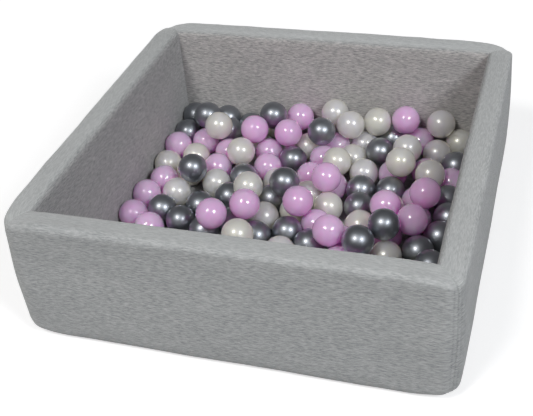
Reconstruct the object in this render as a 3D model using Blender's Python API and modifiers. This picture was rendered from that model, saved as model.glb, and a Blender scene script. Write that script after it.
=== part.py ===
"""Square ball pit: foam walls and a floor pad in a sewn jersey cover with a zip, filled with loose balls.

Metres, +Z up. The origin is the middle of the underside. +X runs along the front wall to the right, and +Y
runs to the back. The walls stand on the cover's underside cloth, the pad lies between them, and the balls lie
on the pad's own cloth. Each foam wall has a jersey sleeve, and the sleeves meet at the corners in sewn
mitres, where the taut cover draws the foam's tops and toes in.
"""

import math

import bmesh
import bpy
import numpy as np
from mathutils import Matrix, Vector

# Overall sizes
PIT_WIDTH = 0.90
PIT_DEPTH = 0.90
PIT_HEIGHT = 0.30
WALL_THICKNESS = 0.055
GAP = 0.0003

# Cover and foam
JERSEY = 0.002
PAD_THICKNESS = 0.015
CORNER_RADIUS = 0.035
TOE_RADIUS = 0.030
RIM_OUTER_RADIUS = 0.018
RIM_INNER_RADIUS = 0.012
CORNER_DROOP = 0.010
CORNER_LIFT = 0.014
CORNER_REACH = 0.090
ARC_STEPS = 4
CORNER_STEPS = 3
REACH_SHARES = (0.05, 0.30, 0.60)
PAD_CORNER_RADIUS = 0.006

# Zip along the foot of the back wall
ZIP_HEIGHT = 0.048
ZIP_LENGTH = 0.70
ZIP_TAPE_WIDTH = 0.012
ZIP_TAPE_THICKNESS = 0.0006
CHAIN_WIDTH = 0.005
CHAIN_PROUD = 0.0006
CHAIN_EDGE = 0.0008
STOP_LENGTH = 0.004
STOP_WIDTH = 0.0065
STOP_PROUD = 0.0010
SLIDER_LENGTH = 0.012
SLIDER_PLATE = 0.0010
SLIDER_LIP = 0.0010
SLIDER_LIP_DEPTH = 0.0018
SLIT_CLEARANCE = 0.0008
AXIS_LIFT = 0.0012
BRIDGE_REACH = 0.0025
BRIDGE_THICKNESS = 0.0009
BRIDGE_WIDTH = 0.0013
TAB_LENGTH = 0.024
TAB_WIDTH = 0.0050
TAB_THICKNESS = 0.0010
TAB_BAR = 0.0012
BAR_SIDES = 16
TAB_EDGE = 0.0002
CUT_OVERRUN = 0.002

# Balls
BALL_DIAMETER = 0.070
BALL_COUNT = 150
BALL_PRESS = 0.0012
BALL_GAP = 0.00045
BED_COLUMNS = 4
BED_ROWS = 2
SEED = 7

# The visible balls' places are read on one level plane, along the sight lines from this point
READ_LEVEL = 0.10
VIEW_RIGHT = 0.556
VIEW_FRONT = 1.675
VIEW_HEIGHT = 1.364

# Settling of the balls
SETTLE_STEPS = 500
LINK_STEPS = 500
CLEAR_SWEEPS = 700
SWEEPS_A_STEP = 3
SEAT_STEP = 0.0001
FALL_STEP = 0.0006
HOLD_SHARE = 0.04
FILL_NEARNESS_SHARE = 0.78
FILL_PITCH_SHARE = 0.98

PINK, PEARL, GRAPHITE = "pink", "pearl", "graphite"

# Balls on top, each loose: colour, share across, share back, and how many layers up it starts
TOP_BALL_SHARES = [
    (GRAPHITE, 0.12, 0.90, 0.9), (PEARL, 0.17, 0.85, 1.3), (GRAPHITE, 0.17, 0.59, 0.9),
    (PEARL, 0.29, 0.71, 1.0), (GRAPHITE, 0.32, 0.93, 0.8), (PINK, 0.30, 0.84, 1.2),
    (PEARL, 0.37, 0.54, 0.9), (PINK, 0.30, 0.39, 1.0), (PINK, 0.38, 0.45, 1.1),
    (PINK, 0.42, 0.83, 1.0), (PINK, 0.42, 0.96, 0.9), (GRAPHITE, 0.51, 0.87, 1.2),
    (GRAPHITE, 0.47, 0.57, 1.0), (PEARL, 0.60, 0.71, 0.9), (PINK, 0.58, 0.62, 1.1),
    (PINK, 0.53, 0.50, 1.0), (PEARL, 0.41, 0.31, 1.1), (PINK, 0.67, 0.36, 0.7),
    (GRAPHITE, 0.74, 0.33, 1.0), (GRAPHITE, 0.80, 0.41, 1.1), (PINK, 0.79, 0.50, 0.8),
    (PEARL, 0.79, 0.71, 1.1), (GRAPHITE, 0.70, 0.79, 1.0), (PEARL, 0.59, 0.94, 1.1),
    (PEARL, 0.52, 1.03, 1.5), (PINK, 0.75, 0.99, 1.1), (PEARL, 0.79, 0.82, 1.0),
    (PEARL, 0.87, 1.00, 1.1), (PEARL, 0.88, 0.68, 0.9), (PINK, 0.88, 0.59, 1.0),
    (PINK, 0.87, 0.46, 0.9), (PINK, 0.17, 0.16, 1.0), (PEARL, 0.55, 0.14, 1.0),
    (GRAPHITE, 0.87, 0.17, 1.0),
]

# Balls lying under and between those, read the same way
LOWER_BALL_SHARES = [
    (GRAPHITE, 0.06, 0.91, 0.7), (GRAPHITE, 0.17, 0.93, 0.5), (GRAPHITE, 0.21, 0.85, 0.4),
    (GRAPHITE, 0.07, 0.81, 0.3), (PINK, 0.16, 0.75, 0.0), (PINK, 0.07, 0.73, 0.3),
    (PEARL, 0.08, 0.62, 0.0), (PEARL, 0.16, 0.66, 0.0), (PEARL, 0.18, 0.57, 0.0),
    (PINK, 0.10, 0.52, 0.0), (PINK, 0.08, 0.45, 0.1), (PINK, 0.07, 0.34, 0.3),
    (PINK, 0.16, 0.28, 0.0), (PEARL, 0.09, 0.23, 0.2), (PEARL, 0.18, 0.46, 0.0),
    (GRAPHITE, 0.16, 0.37, 0.0), (GRAPHITE, 0.24, 0.32, 0.0), (GRAPHITE, 0.31, 0.27, 0.0),
    (PEARL, 0.26, 0.53, 0.0), (PINK, 0.25, 0.61, 0.0), (PINK, 0.25, 0.70, 0.0),
    (GRAPHITE, 0.26, 0.89, 0.2), (PEARL, 0.34, 0.93, 0.4), (GRAPHITE, 0.33, 0.58, 0.0),
    (GRAPHITE, 0.33, 0.48, 0.0), (GRAPHITE, 0.26, 0.43, 0.0), (PINK, 0.39, 0.64, 0.0),
    (PINK, 0.39, 0.73, 0.0), (PINK, 0.52, 0.88, 0.3), (GRAPHITE, 0.47, 0.68, 0.0),
    (PEARL, 0.46, 0.59, 0.0), (PEARL, 0.50, 0.76, 0.0), (PINK, 0.55, 0.71, 0.0),
    (PINK, 0.54, 0.62, 0.0), (PINK, 0.63, 0.58, 0.0), (PEARL, 0.57, 0.54, 0.0),
    (PEARL, 0.63, 0.48, 0.2), (PEARL, 0.47, 0.44, 0.0), (GRAPHITE, 0.47, 0.35, 0.0),
    (GRAPHITE, 0.48, 0.27, 0.0), (GRAPHITE, 0.55, 0.33, 0.0), (PEARL, 0.54, 0.40, 0.0),
    (PINK, 0.60, 0.40, 0.2), (GRAPHITE, 0.62, 0.29, 0.0), (PEARL, 0.56, 0.24, 0.0),
    (PINK, 0.70, 0.24, 0.0), (PEARL, 0.75, 0.41, 0.0), (GRAPHITE, 0.72, 0.49, 0.0),
    (GRAPHITE, 0.72, 0.58, 0.2), (PEARL, 0.68, 0.65, 0.1), (PINK, 0.77, 0.67, 0.0),
    (GRAPHITE, 0.79, 0.57, 0.0), (PEARL, 0.66, 0.82, 0.3), (PEARL, 0.65, 0.73, 0.0),
    (PINK, 0.58, 0.80, 0.1), (PEARL, 0.68, 0.95, 0.6), (GRAPHITE, 0.73, 0.88, 0.4),
    (PINK, 0.83, 0.87, 0.1), (PEARL, 0.94, 0.90, 0.6), (PEARL, 0.88, 0.82, 0.2),
    (GRAPHITE, 0.94, 0.75, 0.1), (PINK, 0.94, 0.66, 0.0), (GRAPHITE, 0.94, 0.58, 0.0),
    (PINK, 0.87, 0.70, 0.0), (PINK, 0.84, 0.57, 0.0), (GRAPHITE, 0.95, 0.49, 0.0),
    (GRAPHITE, 0.94, 0.40, 0.0), (GRAPHITE, 0.95, 0.30, 0.0), (GRAPHITE, 0.88, 0.32, 0.0),
    (PEARL, 0.82, 0.27, 0.0),
]

# Heights and faces that several pieces share
FOOT = JERSEY + GAP
INSIDE_WIDTH = PIT_WIDTH - 2 * WALL_THICKNESS
INSIDE_DEPTH = PIT_DEPTH - 2 * WALL_THICKNESS
PAD_TOP = FOOT + PAD_THICKNESS
FLOOR_TOP = PAD_TOP + GAP + JERSEY
BACK_FACE = PIT_DEPTH / 2
BALL_RADIUS = BALL_DIAMETER / 2
LAYER_RISE = BALL_DIAMETER * math.sqrt(2 / 3)
MERGE = GAP / 10

for old in list(bpy.data.objects):
    bpy.data.objects.remove(old, do_unlink=True)

parts = bpy.data.collections.new("ball_pit")
guides = bpy.data.collections.new("cutters_and_guides")
bpy.context.scene.collection.children.link(parts)
bpy.context.scene.collection.children.link(guides)


def material(name, colour, roughness, metallic=0.0):
    """A plain Principled finish."""
    made = bpy.data.materials.new(name)
    made.use_nodes = True
    shader = made.node_tree.nodes["Principled BSDF"]
    shader.inputs["Base Color"].default_value = (*colour, 1.0)
    shader.inputs["Roughness"].default_value = roughness
    shader.inputs["Metallic"].default_value = metallic
    return made


jersey_grey = material("jersey_grey", (0.36, 0.37, 0.38), 0.95)
foam_white = material("foam_white", (0.80, 0.79, 0.74), 0.95)
zip_grey = material("zip_grey", (0.30, 0.31, 0.32), 0.60)
zip_metal = material("zip_metal", (0.55, 0.55, 0.56), 0.35, 1.0)
ball_finish = {
    PINK: material("ball_pink", (0.58, 0.35, 0.57), 0.30),
    PEARL: material("ball_pearl", (0.55, 0.53, 0.49), 0.25),
    GRAPHITE: material("ball_graphite", (0.085, 0.092, 0.11), 0.35, 0.6),
}


def add_object(name, mesh, finish, place=(0, 0, 0), smooth_angle=None):
    """Puts a mesh in the part's collection with its finish."""
    made = bpy.data.objects.new(name, mesh)
    parts.objects.link(made)
    made.location = place
    if not mesh.materials:
        mesh.materials.append(finish)
    if smooth_angle is not None:
        mesh.shade_smooth()
        mesh.set_sharp_from_angle(angle=smooth_angle)
    return made


def mesh_from(name, bm):
    """Closes a bmesh into a mesh whose faces point out."""
    bmesh.ops.remove_doubles(bm, verts=bm.verts, dist=MERGE)
    bmesh.ops.dissolve_degenerate(bm, edges=bm.edges, dist=MERGE)
    bmesh.ops.recalc_face_normals(bm, faces=bm.faces)
    mesh = bpy.data.meshes.new(name)
    bm.to_mesh(mesh)
    bm.free()
    return mesh


def box_mesh(name, low, high):
    """A box between two corners."""
    bm = bmesh.new()
    size = Vector(high) - Vector(low)
    middle = (Vector(high) + Vector(low)) / 2
    bmesh.ops.create_cube(bm, size=1, matrix=Matrix.Translation(middle) @ Matrix.Diagonal((*size, 1)))
    return mesh_from(name, bm)


def bar_mesh(name, middle, radius, length):
    """An upright round bar about a middle."""
    bm = bmesh.new()
    bmesh.ops.create_cone(bm, cap_ends=True, segments=BAR_SIDES, radius1=radius, radius2=radius, depth=length,
                          matrix=Matrix.Translation(middle))
    return mesh_from(name, bm)


def add_guide(mesh):
    """A cutter or a joined-in shape, which isn't a piece itself."""
    guide = bpy.data.objects.new(mesh.name, mesh)
    guides.objects.link(guide)
    guide.hide_render = True
    guide.display_type = "WIRE"
    return guide


def combine(target, mesh, operation):
    """Cuts a shape from a piece, or joins it to the piece."""
    step = target.modifiers.new(mesh.name, "BOOLEAN")
    step.operation = operation
    step.object = add_guide(mesh)


def round_edges(target, width, segments=2):
    """Rounds every sharp edge of a piece."""
    step = target.modifiers.new("rounding", "BEVEL")
    step.width = width
    step.segments = segments


def arc(middle, radius, start, end, steps):
    """Points on an arc, angles in degrees."""
    turns = [math.radians(start + (end - start) * k / steps) for k in range(steps + 1)]
    return [(middle[0] + radius * math.cos(t), middle[1] + radius * math.sin(t)) for t in turns]


def wall_line(inset):
    """A wall's section from its toe over the rim to its inner foot: (in from the outer face, height)."""
    top = PIT_HEIGHT
    line = arc((TOE_RADIUS, TOE_RADIUS), TOE_RADIUS - inset, 270, 180, ARC_STEPS)
    line += arc((RIM_OUTER_RADIUS, top - RIM_OUTER_RADIUS), RIM_OUTER_RADIUS - inset, 180, 90, ARC_STEPS)
    line += arc((WALL_THICKNESS - RIM_INNER_RADIUS, top - RIM_INNER_RADIUS), RIM_INNER_RADIUS - inset, 90, 0,
                ARC_STEPS)
    return line + [(WALL_THICKNESS - inset, FOOT)]


def corner_points(inward, length, depth):
    """The left end of a wall's run in plan, from the mitre: (along, out), for a line inward of the face."""
    radius = max(CORNER_RADIUS - inward, 0)
    middle = (-length / 2 + max(CORNER_RADIUS, inward), -depth / 2 + max(CORNER_RADIUS, inward))
    if radius == 0:
        points = [(middle[0] + GAP * math.sqrt(0.5), middle[1])] * (CORNER_STEPS + 1)
    else:
        points = arc(middle, radius, 225, 270, CORNER_STEPS)
        off_square = math.radians(22.5 / CORNER_STEPS)
        step = GAP / 2 / math.cos(off_square)
        chord = math.radians(315) + off_square
        points[0] = (points[0][0] + step * math.cos(chord), points[0][1] + step * math.sin(chord))
    inner_corner = -length / 2 + WALL_THICKNESS
    return points + [(inner_corner + share * CORNER_REACH, points[-1][1]) for share in REACH_SHARES]


def drawn_in(x, y, height, length, depth):
    """A point of a wall's run. The taut cover draws the corners' tops down and their toes up."""
    tip = CORNER_RADIUS * (1 - math.sqrt(0.5))
    away = math.hypot(length / 2 - tip - abs(x), depth / 2 - tip + y)
    nearness = max(1 - away / CORNER_REACH, 0) ** 2
    from_middle = 1 - 2 * height / PIT_HEIGHT
    pull = CORNER_LIFT if from_middle > 0 else CORNER_DROOP
    return x, y, height + pull * nearness * from_middle


def split_face(bm, corners):
    """Two triangles over four corners, along the diagonal that lies further from mid height."""
    a, b, c, d = corners
    if abs(a.co.z + c.co.z - PIT_HEIGHT) < abs(b.co.z + d.co.z - PIT_HEIGHT):
        a, b, c, d = b, c, d, a
    bm.faces.new((a, b, c))
    bm.faces.new((a, c, d))


def wall_piece(name, outline, length, depth, turn, finish):
    """A piece with mitred ends: its section carried along the wall and half way round both corners."""
    bm = bmesh.new()
    rings = []
    for inward, height in outline:
        left = corner_points(inward, length, depth)
        right = [(-x, y) for x, y in reversed(left)]
        rings.append([bm.verts.new(drawn_in(x, y, height, length, depth)) for x, y in left + right])
    count = len(rings)
    for k, ring in enumerate(rings):
        after = rings[(k + 1) % count]
        for i in range(len(ring) - 1):
            split_face(bm, (ring[i], ring[i + 1], after[i + 1], after[i]))
    bm.faces.new([ring[0] for ring in rings])
    bm.faces.new([ring[-1] for ring in rings])
    bmesh.ops.rotate(bm, verts=bm.verts, cent=(0, 0, 0), matrix=Matrix.Rotation(turn, 3, "Z"))
    return add_object(name, mesh_from(name, bm), finish, smooth_angle=math.radians(40))


def rounded_sheet(name, half_width, half_depth, radius, low, thickness, finish):
    """A flat sheet or pad with rounded corners in plan."""
    bm = bmesh.new()
    outline = []
    for k, (sx, sy) in enumerate(((-1, -1), (1, -1), (1, 1), (-1, 1))):
        middle = (sx * (half_width - radius), sy * (half_depth - radius))
        outline += arc(middle, radius, 180 + 90 * k, 270 + 90 * k, CORNER_STEPS)
    face = bm.faces.new([bm.verts.new((x, y, low)) for x, y in outline])
    raised = bmesh.ops.extrude_face_region(bm, geom=[face])["geom"]
    bmesh.ops.translate(bm, verts=[v for v in raised if isinstance(v, bmesh.types.BMVert)],
                        vec=(0, 0, thickness))
    return add_object(name, mesh_from(name, bm), finish)


def make_walls():
    """Four foam walls and the four jersey sleeves over them."""
    sleeve = wall_line(0) + wall_line(JERSEY)[::-1]
    foam = wall_line(JERSEY + GAP)
    made = {}
    runs = (("front", PIT_WIDTH, PIT_DEPTH, 0), ("right", PIT_DEPTH, PIT_WIDTH, 90),
            ("back", PIT_WIDTH, PIT_DEPTH, 180), ("left", PIT_DEPTH, PIT_WIDTH, 270))
    for side, length, depth, turn in runs:
        angle = math.radians(turn)
        made["foam_wall_" + side] = wall_piece("foam_wall_" + side, foam, length, depth, angle, foam_white)
        made["cover_" + side] = wall_piece("cover_" + side, sleeve, length, depth, angle, jersey_grey)
    return made


def make_floor():
    """The underside cloth, the foam pad on it, and the cloth over the pad."""
    under_x = PIT_WIDTH / 2 - TOE_RADIUS - GAP
    under_y = PIT_DEPTH / 2 - TOE_RADIUS - GAP
    rounded_sheet("cover_underside", under_x, under_y, CORNER_RADIUS - TOE_RADIUS, 0, JERSEY, jersey_grey)
    pad_x = INSIDE_WIDTH / 2 - GAP
    pad_y = INSIDE_DEPTH / 2 - GAP
    rounded_sheet("foam_floor_pad", pad_x, pad_y, PAD_CORNER_RADIUS, FOOT, PAD_THICKNESS, foam_white)
    rounded_sheet("cover_floor", pad_x, pad_y, PAD_CORNER_RADIUS, PAD_TOP + GAP, JERSEY, jersey_grey)


def make_zip(walls):
    """The zip: two tapes behind a slit in the back sleeve, the chain, its stops, slider and pull tab."""
    tape_front = BACK_FACE - JERSEY - GAP
    tape_back = tape_front - ZIP_TAPE_THICKNESS
    tape_end = ZIP_LENGTH / 2 + STOP_LENGTH + 2 * GAP
    slit_end = tape_end + GAP
    slit_half = CHAIN_WIDTH / 2 + GAP + SLIDER_LIP + SLIT_CLEARANCE
    combine(walls["cover_back"],
            box_mesh("zip_slit", (-slit_end, BACK_FACE - JERSEY - GAP / 2, ZIP_HEIGHT - slit_half),
                     (slit_end, BACK_FACE + CUT_OVERRUN, ZIP_HEIGHT + slit_half)), "DIFFERENCE")
    rebate = ZIP_TAPE_WIDTH + 2 * GAP
    combine(walls["foam_wall_back"],
            box_mesh("tape_rebate", (-tape_end - GAP, tape_back - GAP, ZIP_HEIGHT - rebate),
                     (tape_end + GAP, BACK_FACE + CUT_OVERRUN, ZIP_HEIGHT + rebate)), "DIFFERENCE")
    for name, side in (("zip_tape_upper", 1), ("zip_tape_lower", -1)):
        near = ZIP_HEIGHT + side * GAP / 2
        far = near + side * ZIP_TAPE_WIDTH
        mesh = box_mesh(name, (-tape_end, tape_back, min(near, far)), (tape_end, tape_front, max(near, far)))
        add_object(name, mesh, zip_grey)

    chain_back = tape_front + GAP
    chain_front = BACK_FACE + CHAIN_PROUD
    half = CHAIN_WIDTH / 2
    chain = add_object("zip_chain", box_mesh("zip_chain", (-ZIP_LENGTH / 2, chain_back, ZIP_HEIGHT - half),
                                             (ZIP_LENGTH / 2, chain_front, ZIP_HEIGHT + half)), zip_grey)
    round_edges(chain, CHAIN_EDGE)

    for name, side in (("zip_stop_left", 1), ("zip_stop_right", -1)):
        near = side * (ZIP_LENGTH / 2 + GAP)
        far = near + side * STOP_LENGTH
        mesh = box_mesh(name, (min(near, far), chain_back, ZIP_HEIGHT - STOP_WIDTH / 2),
                        (max(near, far), BACK_FACE + STOP_PROUD, ZIP_HEIGHT + STOP_WIDTH / 2))
        round_edges(add_object(name, mesh, zip_metal), CHAIN_EDGE / 2, 1)

    make_slider(chain_front)


def make_slider(chain_front):
    """A saddle that runs on the chain, with a bridge along it, and the pull tab, whose end bar it holds."""
    start = -ZIP_LENGTH / 2 + GAP
    end = start + SLIDER_LENGTH
    lip_inner = CHAIN_WIDTH / 2 + GAP
    lip_outer = lip_inner + SLIDER_LIP
    plate_low = chain_front + GAP
    plate_high = plate_low + SLIDER_PLATE
    plate_middle = (plate_low + plate_high) / 2
    slider = add_object("zip_slider", box_mesh("zip_slider", (start, plate_low, ZIP_HEIGHT - lip_outer),
                                               (end, plate_high, ZIP_HEIGHT + lip_outer)), zip_metal)
    axis_x = (start + end) / 2
    axis_y = plate_high + AXIS_LIFT
    bridge_top = axis_y + AXIS_LIFT + BRIDGE_THICKNESS
    bridge_end = BRIDGE_REACH + BRIDGE_THICKNESS
    bridge_low = ZIP_HEIGHT - BRIDGE_WIDTH / 2
    bridge_high = ZIP_HEIGHT + BRIDGE_WIDTH / 2
    for side in (1, -1):
        lip = sorted((ZIP_HEIGHT + side * lip_inner, ZIP_HEIGHT + side * lip_outer))
        combine(slider, box_mesh("lip", (start, plate_low - SLIDER_LIP_DEPTH, lip[0]),
                                 (end, plate_middle, lip[1])), "UNION")
        post = sorted((axis_x + side * BRIDGE_REACH, axis_x + side * bridge_end))
        combine(slider, box_mesh("bridge_post", (post[0], plate_middle, bridge_low),
                                 (post[1], bridge_top, bridge_high)), "UNION")
    combine(slider, box_mesh("bridge_bar", (axis_x - bridge_end, bridge_top - BRIDGE_THICKNESS, bridge_low),
                             (axis_x + bridge_end, bridge_top, bridge_high)), "UNION")

    tab_end = axis_x - TAB_BAR / 2 + TAB_LENGTH
    tab = add_object("zip_pull_tab", box_mesh("zip_pull_tab", (axis_x, axis_y - TAB_THICKNESS / 2,
                                                               ZIP_HEIGHT - TAB_WIDTH / 2),
                                              (tab_end, axis_y + TAB_THICKNESS / 2,
                                               ZIP_HEIGHT + TAB_WIDTH / 2)), zip_metal)
    round_edges(tab, TAB_EDGE, 1)
    bar = bar_mesh("end_bar", (axis_x, axis_y, ZIP_HEIGHT), TAB_BAR / 2, TAB_WIDTH - 2 * TAB_EDGE)
    combine(tab, bar, "UNION")
    window_half = BRIDGE_WIDTH / 2 + 2 * GAP
    window_end = axis_x + math.hypot(bridge_end, AXIS_LIFT + BRIDGE_THICKNESS) + 2 * GAP
    combine(tab, box_mesh("window", (axis_x + TAB_BAR / 2, axis_y - CUT_OVERRUN, ZIP_HEIGHT - window_half),
                          (window_end, axis_y + CUT_OVERRUN, ZIP_HEIGHT + window_half)), "DIFFERENCE")


def ball_mesh(name, radius):
    """A ball of flat facets, whose corners stand out so far that it holds a round ball's volume."""
    bm = bmesh.new()
    bmesh.ops.create_icosphere(bm, subdivisions=2, radius=radius)
    round_volume = 4 / 3 * math.pi * radius ** 3
    factor = (round_volume / bm.calc_volume()) ** (1 / 3)
    bmesh.ops.scale(bm, verts=bm.verts, vec=(factor, factor, factor))
    mesh = mesh_from(name, bm)
    mesh.shade_smooth()
    return mesh


def shape_arrays(mesh):
    """A ball's corners, and each facet's way out over its distance from the middle."""
    corners = np.array([v.co[:] for v in mesh.vertices])
    normals = np.array([f.normal[:] for f in mesh.polygons])
    middles = np.array([f.center[:] for f in mesh.polygons])
    return corners, normals / (normals * middles).sum(axis=1)[:, None]


class Heap:
    """The balls' places while they settle, and the rules that keep them apart and in the pit."""

    def __init__(self, places, loose, sight, shape):
        self.places = places
        self.loose = loose
        self.start = places.copy()
        self.sight = sight
        self.corners, self.facets = shape
        self.first, self.second = np.triu_indices(len(places), 1)
        self.linked = np.zeros(len(self.first), bool)
        side = self.reach(np.array([(1.0, 0, 0), (0, 1.0, 0), (0, 0, -1.0)])) + GAP
        self.low = np.array((-INSIDE_WIDTH / 2 + side[0], -INSIDE_DEPTH / 2 + side[1], FLOOR_TOP + side[2]))
        self.high = np.array((INSIDE_WIDTH / 2 - side[0], INSIDE_DEPTH / 2 - side[1], PIT_HEIGHT))

    def reach(self, ways):
        """How far a faceted ball's outline reaches along each direction."""
        return (ways @ self.corners.T).max(axis=1)

    def contact(self, ways):
        """How far apart the middles of two faceted balls are along each direction when they just touch."""
        return 2 / (ways @ self.facets.T).max(axis=1)

    def near_pairs(self):
        """Pairs near enough to matter, with the way between them."""
        apart = self.places[self.second] - self.places[self.first]
        distance = np.linalg.norm(apart, axis=1)
        pick = np.flatnonzero((distance < 2 * BALL_DIAMETER) | self.linked)
        return pick, apart[pick], np.maximum(distance[pick], GAP)

    def clearances(self):
        """The gap between each near pair that isn't joined."""
        pick, apart, distance = self.near_pairs()
        gaps = distance - self.contact(apart / distance[:, None])
        linked = self.linked[pick]
        return gaps[~linked], gaps[linked]

    def sweep(self):
        """Moves every pair apart, or together where they are joined, and keeps all of them inside."""
        pick, apart, distance = self.near_pairs()
        linked = self.linked[pick]
        ways = apart / distance[:, None]
        wanted = self.contact(ways) + np.where(linked, -BALL_PRESS, BALL_GAP)
        push = np.where(linked, wanted - distance, np.maximum(wanted - distance, 0))
        moves = push[:, None] * ways

        flat = apart * (1, 1, 0)
        flat_distance = np.maximum(np.linalg.norm(flat, axis=1), GAP)
        flat_ways = flat / flat_distance[:, None]
        first, second = self.first[pick], self.second[pick]
        lower_is_loose = np.where(apart[:, 2] > 0, self.loose[first], self.loose[second])
        flat_wanted = 2 * self.reach(flat_ways) + BALL_GAP
        flat_push = np.where(lower_is_loose, np.maximum(flat_wanted - flat_distance, 0), 0)
        moves += flat_push[:, None] * flat_ways

        shift = np.zeros_like(self.places)
        touches = np.zeros(len(self.places))
        np.add.at(shift, first, -moves / 2)
        np.add.at(shift, second, moves / 2)
        active = (push != 0) | (flat_push > 0)
        np.add.at(touches, first, active)
        np.add.at(touches, second, active)
        self.places += shift / np.maximum(touches, 1)[:, None] ** 0.5
        self.places = np.clip(self.places, self.low, self.high)

    def fall(self, steps, step_length):
        """Lets the balls sink while each is held near its own sight line."""
        for k in range(steps):
            left = 1 - k / steps
            away = self.places - self.start
            off_line = away - (away * self.sight).sum(axis=1)[:, None] * self.sight
            self.places -= HOLD_SHARE * left * off_line
            self.places[:, 2] -= step_length * left
            for _ in range(SWEEPS_A_STEP):
                self.sweep()

    def seat(self, ball):
        """Lowers a ball straight down until it lies on another ball or on the floor."""
        others = np.arange(len(self.places)) != ball
        while self.places[ball, 2] - SEAT_STEP > self.low[2]:
            lower = self.places[ball] - (0, 0, SEAT_STEP)
            apart = self.places[others] - lower
            distance = np.linalg.norm(apart, axis=1)
            if (distance < self.contact(apart / distance[:, None]) + BALL_GAP).any():
                break
            self.places[ball] = lower

    def link(self, groups):
        """Joins the balls of each group by the shortest tree."""
        lookup = {}
        for k, pair in enumerate(zip(self.first.tolist(), self.second.tolist())):
            lookup[pair] = k
        for group in groups:
            reached = [group[0]]
            waiting = list(group[1:])
            while waiting:
                spans = np.linalg.norm(self.places[reached][:, None] - self.places[waiting][None], axis=2)
                a, b = np.unravel_index(spans.argmin(), spans.shape)
                one, other = sorted((int(reached[a]), int(waiting[b])))
                self.linked[lookup[(one, other)]] = True
                reached.append(waiting.pop(b))


def read_places(rows):
    """The starting places of balls read on the level plane, and the sight line of each."""
    viewer = np.array((VIEW_RIGHT, -VIEW_FRONT, VIEW_HEIGHT))
    places, sights = [], []
    for _, across, back, layers in rows:
        seen = np.array(((across - 0.5) * INSIDE_WIDTH, (back - 0.5) * INSIDE_DEPTH, READ_LEVEL))
        sight = (viewer - seen) / np.linalg.norm(viewer - seen)
        height = FLOOR_TOP + BALL_RADIUS + layers * LAYER_RISE
        places.append(seen + sight * (height - READ_LEVEL) / sight[2])
        sights.append(sight)
    return places, sights


def fill_places(places, count):
    """Floor places for the balls that nothing shows: a close pattern, leaving out what is taken."""
    found = []
    taken = list(places)
    pitch = BALL_DIAMETER * FILL_PITCH_SHARE
    low_x = -INSIDE_WIDTH / 2 + BALL_RADIUS
    low_y = -INSIDE_DEPTH / 2 + BALL_RADIUS
    row = 0
    while low_y + row * pitch * math.sqrt(0.75) < INSIDE_DEPTH / 2 - BALL_RADIUS:
        y = low_y + row * pitch * math.sqrt(0.75)
        x = low_x + (row % 2) * pitch / 2
        while x < INSIDE_WIDTH / 2 - BALL_RADIUS:
            spot = np.array((x, y, FLOOR_TOP + BALL_RADIUS))
            nearest = min(np.linalg.norm(spot - other) for other in taken)
            if nearest > BALL_DIAMETER * FILL_NEARNESS_SHARE and len(found) < count:
                found.append(spot)
                taken.append(spot)
            x += pitch
        row += 1
    return found


def bed_groups(places, members):
    """Splits the lower balls into even groups by their places: columns across, then rows back."""
    groups = []
    across = members[np.argsort(places[members, 0], kind="stable")]
    for column in np.array_split(across, BED_COLUMNS):
        back = column[np.argsort(places[column, 1], kind="stable")]
        groups += [list(part) for part in np.array_split(back, BED_ROWS)]
    return groups


def settled_balls(shape):
    """Every ball's colour and settled place, which of them are loose, and the groups of the others."""
    rows = TOP_BALL_SHARES + LOWER_BALL_SHARES
    places, sights = read_places(rows)
    hidden = fill_places(places, BALL_COUNT - len(rows))
    chance = np.random.default_rng(SEED)
    colours = [row[0] for row in rows]
    colours += [(PINK, PEARL, GRAPHITE)[k] for k in chance.integers(0, 3, len(hidden))]
    sights += [np.array((0, 0, 1.0))] * len(hidden)
    loose = np.arange(len(colours)) < len(TOP_BALL_SHARES)
    heap = Heap(np.array(places + hidden), loose, np.array(sights), shape)
    heap.fall(SETTLE_STEPS, FALL_STEP)
    groups = bed_groups(heap.places, np.flatnonzero(~loose))
    heap.link(groups)
    heap.fall(LINK_STEPS, FALL_STEP / 2)
    for _ in range(CLEAR_SWEEPS):
        heap.sweep()
    tops = np.flatnonzero(loose)
    for ball in tops[np.argsort(heap.places[tops, 2], kind="stable")]:
        heap.seat(ball)
    gaps, presses = heap.clearances()
    print("balls", len(colours), "least gap", round(gaps.min(), 6), "least press", round(-presses.max(), 6))
    return colours, heap.places, groups


def make_balls():
    """The loose balls on top as single pieces, and the lower ones joined where they press together."""
    mesh = ball_mesh("ball", BALL_RADIUS)
    colours, places, groups = settled_balls(shape_arrays(mesh))
    number = {PINK: 0, PEARL: 0, GRAPHITE: 0}
    for k in range(len(TOP_BALL_SHARES)):
        colour = colours[k]
        number[colour] += 1
        name = "ball_" + colour + "_" + str(number[colour]).zfill(2)
        own = mesh.copy()
        own.name = name
        add_object(name, own, ball_finish[colour], places[k])
    for k, group in enumerate(groups):
        name = "ball_bed_" + str(k + 1)
        members = bpy.data.collections.new(name + "_members")
        guides.children.link(members)
        bed = add_object(name, mesh.copy(), ball_finish[colours[group[0]]], places[group[0]])
        for m in group[1:]:
            member = bpy.data.objects.new(name + "_member", mesh)
            members.objects.link(member)
            member.location = places[m]
            member.hide_render = True
            member.display_type = "WIRE"
        step = bed.modifiers.new("pressed together", "BOOLEAN")
        step.operation = "UNION"
        step.operand_type = "COLLECTION"
        step.collection = members


wall_pieces = make_walls()
make_floor()
make_zip(wall_pieces)
make_balls()
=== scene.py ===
# %% [markdown]
# # A square ball pit in grey jersey
# The object is a foam-walled ball pit: four foam blocks round a floor pad, all in a sewn cover of grey
# melange jersey, and 150 play balls in pink, pearl and graphite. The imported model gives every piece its
# size and place. This lesson dresses it: soft cloth skins over the foam, smooth balls in place of faceted
# ones, a zip with real teeth, and a material for each finish.

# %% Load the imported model
import math

import bmesh
import bpy
import numpy as np
from mathutils import Matrix, Vector, noise


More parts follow.
